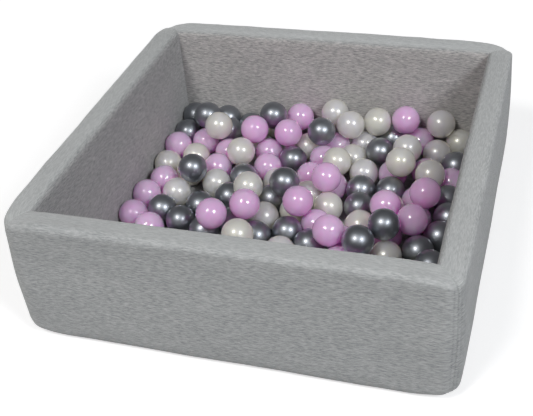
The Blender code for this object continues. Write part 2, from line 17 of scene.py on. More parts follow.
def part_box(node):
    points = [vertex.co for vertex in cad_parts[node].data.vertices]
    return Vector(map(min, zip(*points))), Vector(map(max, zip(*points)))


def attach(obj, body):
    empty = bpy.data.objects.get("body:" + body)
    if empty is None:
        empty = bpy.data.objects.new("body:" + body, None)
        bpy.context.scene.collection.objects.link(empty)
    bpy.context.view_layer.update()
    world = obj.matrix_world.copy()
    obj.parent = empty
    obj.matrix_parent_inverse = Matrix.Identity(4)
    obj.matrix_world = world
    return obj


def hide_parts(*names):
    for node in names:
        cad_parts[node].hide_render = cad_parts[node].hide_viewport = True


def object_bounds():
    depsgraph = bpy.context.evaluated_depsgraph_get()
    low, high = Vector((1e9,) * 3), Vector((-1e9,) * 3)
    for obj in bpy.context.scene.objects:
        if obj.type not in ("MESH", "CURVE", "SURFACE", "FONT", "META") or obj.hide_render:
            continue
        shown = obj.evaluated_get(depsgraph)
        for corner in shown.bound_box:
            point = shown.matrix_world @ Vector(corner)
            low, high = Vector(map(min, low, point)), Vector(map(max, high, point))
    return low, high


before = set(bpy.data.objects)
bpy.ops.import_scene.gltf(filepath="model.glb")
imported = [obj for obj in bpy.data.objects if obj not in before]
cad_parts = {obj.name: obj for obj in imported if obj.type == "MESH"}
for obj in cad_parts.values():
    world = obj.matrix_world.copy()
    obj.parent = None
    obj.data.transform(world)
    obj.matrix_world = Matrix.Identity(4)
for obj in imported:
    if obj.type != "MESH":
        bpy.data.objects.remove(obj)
cad_box = [list(corner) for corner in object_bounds()]
scene = bpy.context.scene
scene.view_settings.view_transform = "Standard"
print("CAD box", cad_box)

# %% [markdown]
# ## Sizes
# The wall's section is the same on all four sides, so it is described once: a round toe, an upright face, a
# rounded rim and an inner face. The sizes are the cover's own, and the overall ones are read from the
# model.

# %% The cover's sizes, in metres
low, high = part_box("cover_front")
PIT_HALF = cad_box[1][0]
PIT_HEIGHT = high.z
WALL = high.y - low.y
JERSEY = 0.002
FOOT = 0.0023
TOE_RADIUS = 0.030
CORNER_RADIUS = 0.035
RIM_OUTER_RADIUS = 0.011
RIM_INNER_RADIUS = 0.012
CREASE_RADIUS = 0.004
CORNER_DROOP = 0.010
CORNER_LIFT = 0.014
CORNER_REACH = 0.090
FLOOR_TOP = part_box("cover_floor")[1].z
print("pit", round(2 * PIT_HALF, 3), "x", round(PIT_HEIGHT, 3), "m, wall", round(WALL, 4), "m")

# %% [markdown]
# ## Node helpers
# Materials and Geometry Nodes are both trees of nodes. A few short helpers keep the rest readable. One
# opens a group with named sockets and one adds a node and wires or sets its inputs. The others do a sum,
# move a range, mix two colours, open a material and wire a finish to it.

# %% Helpers for objects and node trees
def new_object(name, data):
    """A new object in the scene."""
    made = bpy.data.objects.new(name, data)
    scene.collection.objects.link(made)
    return made


def open_group(kind, name, inputs, outputs):
    """A new node group with named inputs (label, socket type, default) and outputs (label, socket type)."""
    tree = bpy.data.node_groups.new(name, kind)
    for label, socket_type, default in inputs:
        socket = tree.interface.new_socket(label, in_out="INPUT", socket_type=socket_type)
        if default is not None:
            socket.default_value = default
    for label, socket_type in outputs:
        tree.interface.new_socket(label, in_out="OUTPUT", socket_type=socket_type)
    return tree, tree.nodes.new("NodeGroupInput").outputs, tree.nodes.new("NodeGroupOutput").inputs


def add(tree, kind, inputs=None, **settings):
    """One node. Each input is a value, or the socket that it is wired from."""
    made = tree.nodes.new(kind)
    for key, value in settings.items():
        setattr(made, key, value)
    for key, value in (inputs or {}).items():
        if isinstance(value, bpy.types.NodeSocket):
            tree.links.new(value, made.inputs[key])
        else:
            made.inputs[key].default_value = value
    return made


def calc(tree, operation, *values):
    """A Math node's result."""
    return add(tree, "ShaderNodeMath", dict(enumerate(values)), operation=operation).outputs[0]


def stretch(tree, value, low_in, high_in, low_out=0.0, high_out=1.0):
    """A value moved from one range to another, and held inside it."""
    node = add(tree, "ShaderNodeMapRange", {"Value": value, "From Min": low_in, "From Max": high_in,
                                            "To Min": low_out, "To Max": high_out})
    return node.outputs["Result"]


def mix_colour(tree, share, first, second, blend="MIX"):
    """Two colours mixed by a share."""
    node = add(tree, "ShaderNodeMix", {"Factor": share}, data_type="RGBA", blend_type=blend)
    for socket, colour in zip(node.inputs[6:8], (first, second)):
        if isinstance(colour, bpy.types.NodeSocket):
            tree.links.new(colour, socket)
        else:
            socket.default_value = colour
    return node.outputs[2]


def open_material(name, roughness, metallic=0.0, **plain):
    """A material with its Principled shader. Plain values go on the shader's own sockets."""
    made = bpy.data.materials.new(name)
    made.use_nodes = True
    shader = made.node_tree.nodes["Principled BSDF"]
    shader.inputs["Roughness"].default_value = roughness
    shader.inputs["Metallic"].default_value = metallic
    for key, value in plain.items():
        shader.inputs[key.replace("_", " ")].default_value = value
    return made, made.node_tree, shader.inputs


def wire_finish(tree, shader, finish, strength, depth):
    """Wires a finish's Color, Roughness and Height to a material's shader, the height as relief."""
    relief = add(tree, "ShaderNodeBump", {"Height": finish["Height"], "Strength": strength,
                                          "Distance": depth})
    tree.links.new(finish["Color"], shader["Base Color"])
    tree.links.new(finish["Roughness"], shader["Roughness"])
    tree.links.new(relief.outputs["Normal"], shader["Normal"])


# %% [markdown]
# ## Melange jersey
# The cover is a knitted cotton. Its yarn is spun from light and dark fibres, so the cloth shows short
# streaks along the knitting rows, and up close the loops of the knit itself. A group makes both from the
# cloth's own UV map, which is in metres: u runs along the wall and v across the rows. Two shares change it
# from place to place. The first is painted light and wear: the rim is painted paler, its streaks fade where
# the cloth is rubbed fuzzy, and painted highlights and seam shade go on it too. The second is painted
# bounce light inside the pit: the inner faces are painted paler and warmer, and their streaks are clearer.

# %% The knit's shader group
FLECK_LENGTH_SHARE = 0.3
FLECK_HEIGHT_SHARE = 0.35
PATCH_LENGTH = 0.16
PATCH_HEIGHT = 0.05
STREAK_PART = 0.66
# Inside the pit: how much clearer the streaks are, and the tint of the painted bounce light, which makes the
# inner faces paler and warmer.
INNER_STREAK_CONTRAST = 0.22
INNER_PAINTED_LIGHT_TINT = (1.19, 1.13, 1.11, 1)
WORN_FADING = 2.2
MOST_FADING = 0.5
LOOP_RELIEF = 0.30
WALE_RELIEF = 1.6
FLECK_RELIEF = 0.8
knit, knit_in, knit_out = open_group(
    "ShaderNodeTree", "melange knit",
    [("Cloth place", "NodeSocketVector", None), ("Light yarn", "NodeSocketColor", (0.575, 0.585, 0.585, 1)),
     ("Dark yarn", "NodeSocketColor", (0.170, 0.180, 0.190, 1)), ("Streak length", "NodeSocketFloat", 0.012),
     ("Streak height", "NodeSocketFloat", 0.0014), ("Loop width", "NodeSocketFloat", 0.0014),
     ("Loop height", "NodeSocketFloat", 0.0011), ("Painted light and wear share", "NodeSocketFloat", 0.0),
     ("Inner painted light share", "NodeSocketFloat", 0.0)],
    [("Color", "NodeSocketColor"), ("Height", "NodeSocketFloat"), ("Roughness", "NodeSocketFloat")])


def stretched_noise(tree, u, v, length, height, detail, seed):
    """Noise drawn out along the knitting rows."""
    place = add(tree, "ShaderNodeCombineXYZ", {"X": calc(tree, "DIVIDE", u, length),
                                               "Y": calc(tree, "DIVIDE", v, height), "Z": seed})
    return add(tree, "ShaderNodeTexNoise", {"Vector": place.outputs[0], "Scale": 1.0, "Detail": detail,
                                            "Roughness": 0.6}).outputs["Fac"]


axes = add(knit, "ShaderNodeSeparateXYZ", {0: knit_in["Cloth place"]}).outputs
streaks = stretched_noise(knit, axes["X"], axes["Y"],
                          knit_in["Streak length"], knit_in["Streak height"], 3.0, 1.7)
flecks = stretched_noise(knit, axes["X"], axes["Y"],
                         calc(knit, "MULTIPLY", knit_in["Streak length"], FLECK_LENGTH_SHARE),
                         calc(knit, "MULTIPLY", knit_in["Streak height"], FLECK_HEIGHT_SHARE), 2.0, 4.1)
patches = stretched_noise(knit, axes["X"], axes["Y"], PATCH_LENGTH, PATCH_HEIGHT, 2.0, 8.3)
yarn = calc(knit, "MULTIPLY_ADD", stretch(knit, streaks, 0.34, 0.66), STREAK_PART,
            calc(knit, "MULTIPLY", stretch(knit, flecks, 0.28, 0.72), 1 - STREAK_PART))
yarn = calc(knit, "MULTIPLY", yarn, stretch(knit, patches, 0.3, 0.7, 0.93, 1.07))
fading = calc(knit, "MINIMUM", calc(knit, "MULTIPLY", knit_in["Painted light and wear share"], WORN_FADING), MOST_FADING)
clearer = calc(knit, "MULTIPLY", knit_in["Inner painted light share"], INNER_STREAK_CONTRAST)
contrast = calc(knit, "ADD", 1.0, calc(knit, "SUBTRACT", clearer, fading))
yarn = calc(knit, "MULTIPLY_ADD", calc(knit, "SUBTRACT", yarn, 0.5), contrast, 0.5)
fresh = mix_colour(knit, yarn, knit_in["Dark yarn"], knit_in["Light yarn"])
# Painted bounce light: the inner faces are tinted paler and warmer by their share.
fresh = mix_colour(knit, knit_in["Inner painted light share"], fresh,
                   mix_colour(knit, 1.0, fresh, INNER_PAINTED_LIGHT_TINT, "MULTIPLY"))
# Painted light: the colour is made brighter by the rim's painted light and painted highlights, and darker by
# the painted seam shade.
lit_colour = add(knit, "ShaderNodeVectorMath", {0: fresh}, operation="SCALE")
knit.links.new(calc(knit, "ADD", 1.0, knit_in["Painted light and wear share"]), lit_colour.inputs["Scale"])
knit.links.new(lit_colour.outputs[0], knit_out["Color"])

leg = calc(knit, "PINGPONG", calc(knit, "DIVIDE", axes["X"], knit_in["Loop width"]), 0.5)
row = calc(knit, "ADD", calc(knit, "DIVIDE", axes["Y"], knit_in["Loop height"]), leg)
loops = calc(knit, "SINE", calc(knit, "MULTIPLY", row, 2 * math.pi))
wales = calc(knit, "ABSOLUTE", calc(knit, "SUBTRACT", leg, 0.25))
height = calc(knit, "MULTIPLY_ADD", loops, LOOP_RELIEF, calc(knit, "MULTIPLY", wales, -WALE_RELIEF))
knit.links.new(calc(knit, "ADD", height, calc(knit, "MULTIPLY", flecks, FLECK_RELIEF)), knit_out["Height"])
knit.links.new(stretch(knit, yarn, 0.0, 1.0, 0.98, 0.86), knit_out["Roughness"])
print("knit group nodes", len(knit.nodes))


# %% A cloth material from the knit group
def cloth_material(name, uv_map, depth, **plain):
    """A knit cloth that reads its own UV map, and the painted light and wear shares stored on its points."""
    made, tree, shader = open_material(name, 0.95, Specular_IOR_Level=0.25, **plain)
    place = add(tree, "ShaderNodeUVMap", uv_map=uv_map)
    cloth = add(tree, "ShaderNodeGroup", node_tree=knit)
    tree.links.new(place.outputs[0], cloth.inputs["Cloth place"])
    # The stored shares are painted light and shade, the first with the rim's wear as well.
    for attribute, socket in (("painted_light_and_wear", "Painted light and wear share"), ("inner_painted_light", "Inner painted light share")):
        tree.links.new(add(tree, "ShaderNodeAttribute", attribute_name=attribute).outputs["Fac"],
                       cloth.inputs[socket])
    wire_finish(tree, shader, cloth.outputs, 0.6, depth)
    return made


jersey = cloth_material("jersey_melange", "cloth", 0.0003, Sheen_Weight=0.35, Sheen_Roughness=0.5)
print("cloth material", jersey.name)

# %% [markdown]
# ## The shape of a padded wall
# Real foam walls are blocks, but the stretched jersey rounds every edge and bows out a little between the
# corners. A grid that follows the section is made for each side: its rows run along the wall and turn half
# way round both corners, to the sewn mitre. Because the rows are the knitting rows, the UV map comes
# straight from the lengths along the grid.

# %% The section of a wall
def arc(middle, radius, start, end, steps):
    """Points on an arc, angles in degrees."""
    turns = [math.radians(start + (end - start) * k / steps) for k in range(steps + 1)]
    return [(middle[0] + radius * math.cos(t), middle[1] + radius * math.sin(t)) for t in turns]


def line_to(points, end, steps):
    """Goes on from the last point in a straight line."""
    start = points[-1]
    points += [(start[0] + (end[0] - start[0]) * k / steps, start[1] + (end[1] - start[1]) * k / steps)
               for k in range(1, steps + 1)]


ZIP_HEIGHT = (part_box("zip_chain")[0].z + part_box("zip_chain")[1].z) / 2
SLIT_HALF = 0.0046
INNER_HEM = 0.012
UNDER_GAP = 0.0004
# The last number of each arc and line is its count of steps.
section = arc((TOE_RADIUS, TOE_RADIUS), TOE_RADIUS, 270, 180, 7)
line_to(section, (0, ZIP_HEIGHT - SLIT_HALF), 2)
line_to(section, (0, ZIP_HEIGHT + SLIT_HALF), 2)
line_to(section, (0, PIT_HEIGHT - RIM_OUTER_RADIUS), 23)
section += arc((RIM_OUTER_RADIUS, PIT_HEIGHT - RIM_OUTER_RADIUS), RIM_OUTER_RADIUS, 180, 90, 5)[1:]
line_to(section, (WALL - RIM_INNER_RADIUS, PIT_HEIGHT), 4)
section += arc((WALL - RIM_INNER_RADIUS, PIT_HEIGHT - RIM_INNER_RADIUS), RIM_INNER_RADIUS, 90, 0, 4)[1:]
line_to(section, (WALL, INNER_HEM), 27)
line_to(section, (WALL, FOOT), 2)
line_to(section, (TOE_RADIUS + UNDER_GAP, FOOT), 3)
section = np.array(section)
steps_across = np.linalg.norm(np.diff(section, axis=0), axis=1)
across = np.concatenate([[0], np.cumsum(steps_across)])
print("section", len(section), "points,", round(across[-1], 3), "m round")


# %% The grid of one wall
CORNER_STEPS = 10
STRAIGHT_STEPS = 84


def wall_row(inward, length):
    """One row in plan, from mitre to mitre, and the lengths along it."""
    radius = max(CORNER_RADIUS - inward, CREASE_RADIUS)
    middle = (-length / 2 + inward + radius, -length / 2 + inward + radius)
    left = arc(middle, radius, 225, 270, CORNER_STEPS)
    right = [(-x, y) for x, y in reversed(left)]
    straight = [(left[-1][0] + (right[0][0] - left[-1][0]) * k / STRAIGHT_STEPS, left[-1][1])
                for k in range(1, STRAIGHT_STEPS)]
    points = np.array(left + straight + right)
    lengths = np.concatenate([[0], np.cumsum(np.linalg.norm(np.diff(points, axis=0), axis=1))])
    return points, lengths - lengths[-1] / 2


rows = [wall_row(inward, 2 * PIT_HALF) for inward, _ in section]
grid = np.array([np.column_stack([points, np.full(len(points), height)])
                 for (points, _), (_, height) in zip(rows, section)])
along = np.array([lengths for _, lengths in rows])
print("wall grid", grid.shape[:2])

# %% Corners drawn in by the taut cover
CORNER_TIP = PIT_HALF - CORNER_RADIUS * (1 - math.sqrt(0.5))


def corner_pull(x, y, height):
    """How far a point is drawn down, or up below mid height, near the tip of a corner."""
    away = np.hypot(CORNER_TIP - np.abs(x), CORNER_TIP - np.abs(y))
    nearness = np.clip(1 - away / CORNER_REACH, 0, 1) ** 2
    from_middle = 1 - 2 * height / PIT_HEIGHT
    return nearness * from_middle * np.where(from_middle > 0, CORNER_LIFT, CORNER_DROOP)


grid[:, :, 2] += corner_pull(grid[:, :, 0], grid[:, :, 1], grid[:, :, 2])
print("corner tops lowered", round(PIT_HEIGHT - float(grid[:, 0, 2].max()), 4), "m")

# %% [markdown]
# ## Bows, seams and folds
# Foam under a stretched cover isn't flat. The faces bow out by a few millimetres, slow waves run along
# them, short tension wrinkles fan out from the sewn corners, and the seam itself is drawn in. These are all
# moves along the surface's normal, so they are made in one pass on the grid with seeded noise.


# %% Moving the grid along its normals
def grid_normals(points):
    """The outward normal at each point of a closed-round grid."""
    down = np.roll(points, -1, axis=0) - np.roll(points, 1, axis=0)
    side = np.gradient(points, axis=1)
    normals = np.cross(side, down)
    return normals / np.maximum(np.linalg.norm(normals, axis=2), 1e-9)[:, :, None]


def waves(points, size, seed):
    """Slow noise of one size at each point, from -1 to 1."""
    shift = Vector((seed * 3.1, seed * 1.7, seed * 0.9))
    flat = [noise.noise(Vector(p) / size + shift) for p in points.reshape(-1, 3)]
    return np.array(flat).reshape(points.shape[:2])


def hump(values, middle, width):
    """A smooth bump round a value."""
    return np.exp(-((values - middle) / width) ** 2)


SAME_FACE = 0.001


def way_round(height, inward):
    """How far round the section a height lies, on the outer face (inward 0) or the inner one (WALL)."""
    other_face = np.abs(section[:, 0] - inward) > SAME_FACE
    return across[np.argmin(np.abs(section[:, 1] - height) + 10 * other_face)]


OUTER_MIDDLE = way_round(0.16, 0)
INNER_MIDDLE = way_round(0.16, WALL)
INNER_TOP = across[np.argmax(section[:, 0] > WALL - SAME_FACE)]
LOW_MIDDLE = way_round(0.075, 0)
rim_first = np.argmax(section[:, 1] >= PIT_HEIGHT - 1e-6)
RIM_MIDDLE = across[rim_first + 2]
RIM_EDGE = across[rim_first] - RIM_OUTER_RADIUS * 0.8
# Each crown: how far it stands out, where round the section, and how far it spreads.
CROWNS = ((0.0012, OUTER_MIDDLE, 0.10), (0.0025, INNER_MIDDLE, 0.10), (0.0020, RIM_MIDDLE, 0.03))
# Each set of slow waves: height, length, and what is added to the side's seed.
WAVES = ((0.0011, 0.17, 0), (0.0005, 0.055, 9))
RIM_RIDGE, RIDGE_WIDTH = 0.0022, 0.011
RIDGE_WAVE, RIDGE_WAVE_LENGTH = 0.0009, 0.042
LOW_BULGE, LOW_SPREAD = 0.0028, 0.055
CORNER_BULGE, CORNER_SPREAD, BULGE_SPREAD = 0.0050, 0.055, 0.09
WRINKLE, WRINKLE_LENGTH, WRINKLE_REACH = 0.0011, 0.020, 0.05
WRINKLE_DRAW = (1.0, 1.0, 0.35)
WRINKLE_START, FOLD_START = 0.012, 0.01
SPAN_END = 0.02
SEAM_FREE = 0.06
SEAM_DEPTH = 0.0010
SEAM_WIDTH = 0.0018
WELT_WIDTH = 0.0075
MOST_INWARD = 0.0012
TIP_ROUNDING, TIP_LENGTH, TIP_SPREAD = 0.0030, 0.032, 0.012
EDGE_LEAN, LEAN_LENGTH, LEAN_BELOW = 0.0055, 0.16, 0.055
FRONT_LEAN_AT = -0.36
RESTING_HEIGHT = 0.004


def soften(points, seed, low_bulge, lean_at=None, folds=()):
    """The bows, waves, wrinkles and seams of one wall."""
    normals = grid_normals(points)
    from_seam = np.minimum(along - along[:, :1], along[:, -1:] - along)
    free = np.clip(from_seam / SEAM_FREE, 0, 1) ** 0.7
    span = 1 - np.clip(np.abs(along) / (PIT_HALF - SPAN_END), 0, 1) ** 3
    v = across[:, None]
    move = span * sum(height * hump(v, middle, spread) for height, middle, spread in CROWNS)
    move = move + CORNER_BULGE * hump(from_seam, 0, CORNER_SPREAD) * hump(v, OUTER_MIDDLE, BULGE_SPREAD)
    ridge = RIM_RIDGE + RIDGE_WAVE * waves(points, RIDGE_WAVE_LENGTH, seed + 5)
    move = move + free * hump(v, RIM_EDGE, RIDGE_WIDTH) * ridge
    move = move + free * low_bulge * hump(v, LOW_MIDDLE, LOW_SPREAD)
    move = move + free * sum(height * waves(points, length, seed + more) for height, length, more in WAVES)
    near = np.exp(-from_seam / WRINKLE_REACH) * np.clip(from_seam / WRINKLE_START, 0, 1)
    move = move + near * WRINKLE * waves(points * np.array(WRINKLE_DRAW), WRINKLE_LENGTH, seed + 17)
    if lean_at is not None:
        below = np.where(v < RIM_EDGE, LEAN_BELOW, RIDGE_WIDTH)
        move = move + free * EDGE_LEAN * hump(along, lean_at, LEAN_LENGTH) * hump(v, RIM_EDGE, below)
    for middle in (0.0, WELT_WIDTH):
        move = move - SEAM_DEPTH * hump(from_seam, middle, SEAM_WIDTH)
    for middle_along, top, reach, depth, width in folds:
        line = along + middle_along[0] + (v - top) * middle_along[1]
        fade = np.clip((v - top) / FOLD_START, 0, 1) * np.clip(1 - (v - top) / reach, 0, 1)
        move = move + fade * depth * (hump(line, 0, width) - 0.8 * hump(line, 1.8 * width, width))
    tip = TIP_ROUNDING * hump(from_seam, 0, TIP_LENGTH) * hump(v, RIM_EDGE, TIP_SPREAD)
    move = np.maximum(move, -MOST_INWARD) - tip
    resting = (section[:, 1] < RESTING_HEIGHT)[:, None]
    move = np.where(resting, 0, move)
    seam_way = np.array(((1, -1, 0), (-1, -1, 0))) / math.sqrt(2)
    for column, way in ((0, seam_way[0]), (-1, seam_way[1])):
        normals[:, column] -= (normals[:, column] @ way)[:, None] * way
    return points + normals * move[:, :, None]


# %% [markdown]
# ## Cloth over foam
# The last softness comes from a cloth simulation. Each skin is blown up a little from inside, while its
# sewn ends, its underside and the zip's slit are held. The cloth then settles in its own curves between
# what holds it, and a cap keeps it as close to the foam as the real cover is.


# %% A short cloth simulation
PUFF = {"quality": 4, "mass": 0.25, "tension_stiffness": 12, "compression_stiffness": 12,
        "bending_stiffness": 0.6, "use_pressure": True, "uniform_pressure_force": 0.10}
PUFF_FRAMES = 15
MOST_PUFF = 0.0013
SLIT_HOLD = 0.002
UNDERSIDE_HOLD = 0.006


def puff(piece, held, most):
    """Blows the piece up a little with Blender's cloth, and returns how far each point moved."""
    before = np.array([v.co for v in piece.data.vertices])
    group = piece.vertex_groups.new(name="held")
    group.add([int(k) for k in held], 1.0, "REPLACE")
    step = piece.modifiers.new("puff", "CLOTH")
    for key, value in PUFF.items():
        setattr(step.settings, key, value)
    step.settings.vertex_group_mass = "held"
    step.settings.effector_weights.gravity = 0
    for k in range(PUFF_FRAMES):
        scene.frame_set(k + 1)
    shown = piece.evaluated_get(bpy.context.evaluated_depsgraph_get())
    after = np.array([v.co for v in shown.data.vertices])
    piece.modifiers.remove(step)
    piece.vertex_groups.clear()
    scene.frame_set(1)
    moved = after - before
    size = np.linalg.norm(moved, axis=1)
    print(piece.name, "cloth moved up to", round(size.max() * 1000, 1), "mm, held to", most * 1000)
    return moved * (np.minimum(size, most) / np.maximum(size, 1e-9))[:, None]


# %% Building a skin from the grid
def grid_mesh(name, points, closed_round):
    """A quad mesh from a grid, with the cloth's UV map."""
    count_v, count_u = points.shape[:2]
    mesh = bpy.data.meshes.new(name)
    index = np.arange(count_v * count_u).reshape(count_v, count_u)
    last = count_v if closed_round else count_v - 1
    faces = []
    for k in range(last):
        here, after = index[k], index[(k + 1) % count_v]
        faces += [(int(here[i]), int(here[i + 1]), int(after[i + 1]), int(after[i]))
                  for i in range(count_u - 1)]
    mesh.from_pydata(points.reshape(-1, 3).tolist(), [], faces)
    return mesh


def lay_uv(mesh, u_of_point, v_of_point, v_round):
    """The cloth's UV map in metres. Faces that close the round go on past the last row."""
    layer = mesh.uv_layers.new(name="cloth")
    for face in mesh.polygons:
        v_values = [v_of_point[k] for k in face.vertices]
        wraps = max(v_values) - min(v_values) > v_round / 2
        for loop, k, v in zip(face.loop_indices, face.vertices, v_values):
            layer.data[loop].uv = (u_of_point[k], v + (v_round if wraps and v < v_round / 2 else 0))


def finish_mesh(piece, levels):
    """Subdivides the piece, and leaves a plain smooth mesh."""
    if levels:
        step = piece.modifiers.new("smooth", "SUBSURF")
        step.levels = levels
        step.render_levels = levels
    shown = piece.evaluated_get(bpy.context.evaluated_depsgraph_get())
    mesh = bpy.data.meshes.new_from_object(shown)
    piece.modifiers.clear()
    piece.data = mesh
    mesh.shade_smooth()


def cap_ends(piece):
    """Closes the skin's two mitred ends with flat faces."""
    bm = bmesh.new()
    bm.from_mesh(piece.data)
    open_edges = [e for e in bm.edges if e.is_boundary]
    caps = bmesh.ops.holes_fill(bm, edges=open_edges, sides=0)["faces"]
    for cap in caps:
        cap.smooth = False
    bm.to_mesh(piece.data)
    bm.free()
    return len(caps)


# %% The zip's slit
SLIT_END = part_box("zip_tape_upper")[1].x + 0.0003
SLIT_DEPTH = 0.0026
SLIT_LIP = 0.0004
SLIT_ZONE = 0.006


def cut_slit(piece):
    """Sinks the strip of the back skin that lies over the zip, so that the tapes show in it."""
    bm = bmesh.new()
    bm.from_mesh(piece.data)
    bm.faces.ensure_lookup_table()
    chosen = []
    for face in bm.faces:
        middle = face.calc_center_median()
        on_face = middle.y > PIT_HALF - SLIT_ZONE
        if on_face and abs(middle.z - ZIP_HEIGHT) < SLIT_HALF and abs(middle.x) < SLIT_END:
            chosen.append(face)
    inset = bmesh.ops.inset_region(bm, faces=chosen, thickness=SLIT_LIP, use_even_offset=True)
    for v in {v for face in chosen for v in face.verts}:
        v.co.y = PIT_HALF - SLIT_DEPTH
    bm.to_mesh(piece.data)
    bm.free()
    print("slit faces", len(chosen), "and", len(inset["faces"]), "round them")


# %% Painted light and wear shares: rim light, highlights, seam shade and inner bounce light
PAINTED_LIGHT_FADE = 0.006
RIM_START = RIM_EDGE + 0.003
RIM_STOP = RIM_EDGE + WALL - PAINTED_LIGHT_FADE
# Painted light: the rim is painted paler, the back's rim more, and its streaks fade where it is worn.
RIM_PAINTED_LIGHT_AND_WEAR, BACK_RIM_PAINTED_LIGHT_AND_WEAR = 0.23, 0.42
# Painted bounce light on the inner faces, strongest on the back's.
INNER_PAINTED_LIGHT, BACK_INNER_PAINTED_LIGHT = 0.35, 1.0
# A painted highlight along the rim's outer edge.
EDGE_PAINTED_HIGHLIGHT = 0.16
# Painted shade in the two seam grooves, and a painted highlight on the welt between them.
SEAM_SHADE = 0.14
WELT_SHINE = 0.08
EDGE_PATCH = 0.05
OUTSIDE_FADE = 0.01


def store_painted_light_and_wear(mesh, points, seed, rim_painted_light_and_wear, inner_painted_light):
    """The painted light on the rim, with its wear, the painted highlight on its outer edge, the painted seam
    shade and welt highlight, and the painted bounce light on the inner face.
    """
    v = across[:, None]
    on_rim = np.clip((v - RIM_START) / PAINTED_LIGHT_FADE, 0, 1) * np.clip((RIM_STOP - v) / PAINTED_LIGHT_FADE, 0, 1)
    # A painted highlight along the rim's outer edge, patchy along its length.
    edge = hump(v, RIM_EDGE, PAINTED_LIGHT_FADE) * (1 + 0.5 * waves(points, EDGE_PATCH, seed + 31))
    from_seam = np.minimum(along - along[:, :1], along[:, -1:] - along)
    outside = np.clip((RIM_EDGE - v) / OUTSIDE_FADE, 0, 1)
    # Painted shade in the seam grooves and a painted highlight on the welt between them, on the outside only.
    seam = -SEAM_SHADE * outside * (hump(from_seam, 0, SEAM_WIDTH) + hump(from_seam, WELT_WIDTH, SEAM_WIDTH))
    seam = seam + WELT_SHINE * outside * hump(from_seam, WELT_WIDTH / 2, SEAM_WIDTH)
    inside = np.clip((v - RIM_STOP) / PAINTED_LIGHT_FADE, 0, 1) * np.ones_like(along)
    # Stored on the points: painted rim light with its wear, painted highlights and seam shade, and painted
    # bounce light inside.
    for label, share in (("painted_light_and_wear", rim_painted_light_and_wear * on_rim + EDGE_PAINTED_HIGHLIGHT * edge + seam), ("inner_painted_light", inner_painted_light * inside)):
        mesh.attributes.new(label, "FLOAT", "POINT").data.foreach_set("value", share.ravel())


# %% The four skins
SIDES = {"front": 0, "right": 90, "back": 180, "left": 270}
SIDE_SHIFT = 1.37
# Each fold: where it crosses its top and how it slants, its top, its reach, depth and width.
BACK_LEFT_FOLDS = (((-0.367, -0.18), INNER_TOP, 0.10, 0.0026, 0.0030),)
for k, (side, turn) in enumerate(SIDES.items()):
    is_back = side == "back"
    soft = soften(grid, k + 1, 0 if is_back else LOW_BULGE, FRONT_LEAN_AT if side == "front" else None,
                  BACK_LEFT_FOLDS if is_back else ())
    mesh = grid_mesh("cover_skin_" + side, soft, True)
    lay_uv(mesh, (along + k * SIDE_SHIFT).ravel(), np.repeat(across, grid.shape[1]), across[-1])
    # The back's rim and inner face get the most painted light.
    store_painted_light_and_wear(mesh, soft, k + 1, *((BACK_RIM_PAINTED_LIGHT_AND_WEAR, BACK_INNER_PAINTED_LIGHT) if is_back else (RIM_PAINTED_LIGHT_AND_WEAR, INNER_PAINTED_LIGHT)))
    mesh.transform(Matrix.Rotation(math.radians(turn), 4, "Z"))
    skin = new_object("cover_skin_" + side, mesh)
    v_index, u_index = np.meshgrid(*(np.arange(n) for n in grid.shape[:2]), indexing="ij")
    hold = (u_index < 2) | (u_index > grid.shape[1] - 3) | (section[v_index, 1] < UNDERSIDE_HOLD)
    if is_back:
        by_slit = np.abs(section[v_index, 1] - ZIP_HEIGHT) < SLIT_HALF + SLIT_HOLD
        hold |= by_slit & (section[v_index, 0] < SAME_FACE)
    moved = puff(skin, np.flatnonzero(hold.ravel()), MOST_PUFF)
    points = np.array([v.co for v in mesh.vertices]) + moved
    mesh.vertices.foreach_set("co", points.ravel())
    if is_back:
        cut_slit(skin)
    finish_mesh(skin, 1)
    skin.data.materials.append(jersey)
    caps = cap_ends(skin)
    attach(skin, "pit")
    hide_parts("cover_" + side)
    print(skin.name, len(skin.data.polygons), "faces,", caps, "caps")

# %% [markdown]
# ## Floor and underside cloths
# Two flat cloths close the cover. The floor cloth lies on the foam pad and dips a little under each ball,
# and the underside cloth is stretched flat between the walls' feet. Both are thin sheets of the same
# jersey.


# %% A flat cloth
DENT_DEPTH = 0.0011
DENT_WIDTH = 0.016
# A flat cloth never closes round on itself, so its round is longer than any cloth.
OPEN_ROUND = 100.0


def flat_cloth(name, half, top, thickness, dips, cell, lifted=False):
    """A level sheet whose top dips under the given places. Its corners can lift with the cover's."""
    count = int(round(2 * half / cell)) + 1
    line = np.linspace(-half, half, count)
    x, y = np.meshgrid(line, line)
    z = np.full_like(x, top)
    for px, py in dips:
        z = z - DENT_DEPTH * np.exp(-((x - px) ** 2 + (y - py) ** 2) / DENT_WIDTH ** 2)
    if lifted:
        z = z + corner_pull(x, y, 0.0)
    mesh = grid_mesh(name, np.dstack([x, y, z]), False)
    lay_uv(mesh, x.ravel(), y.ravel(), OPEN_ROUND)
    cloth = new_object(name, mesh)
    step = cloth.modifiers.new("thickness", "SOLIDIFY")
    step.thickness = thickness
    step.offset = -1
    finish_mesh(cloth, 0)
    cloth.data.materials.append(jersey)
    print(name, round(2 * half, 4), "m square")
    return cloth


# %% [markdown]
# ## Finding the balls
# The model holds 34 loose balls, each a node of its own, and eight nodes of balls that are joined where
# they press together. A loose ball's middle is its box's middle. In a joined node each flat facet still
# knows the ball that it came from: its three corners lie on that ball's outline, so a point at the right
# depth behind the facet is a vote for the ball's middle, and the places with many votes are the balls.

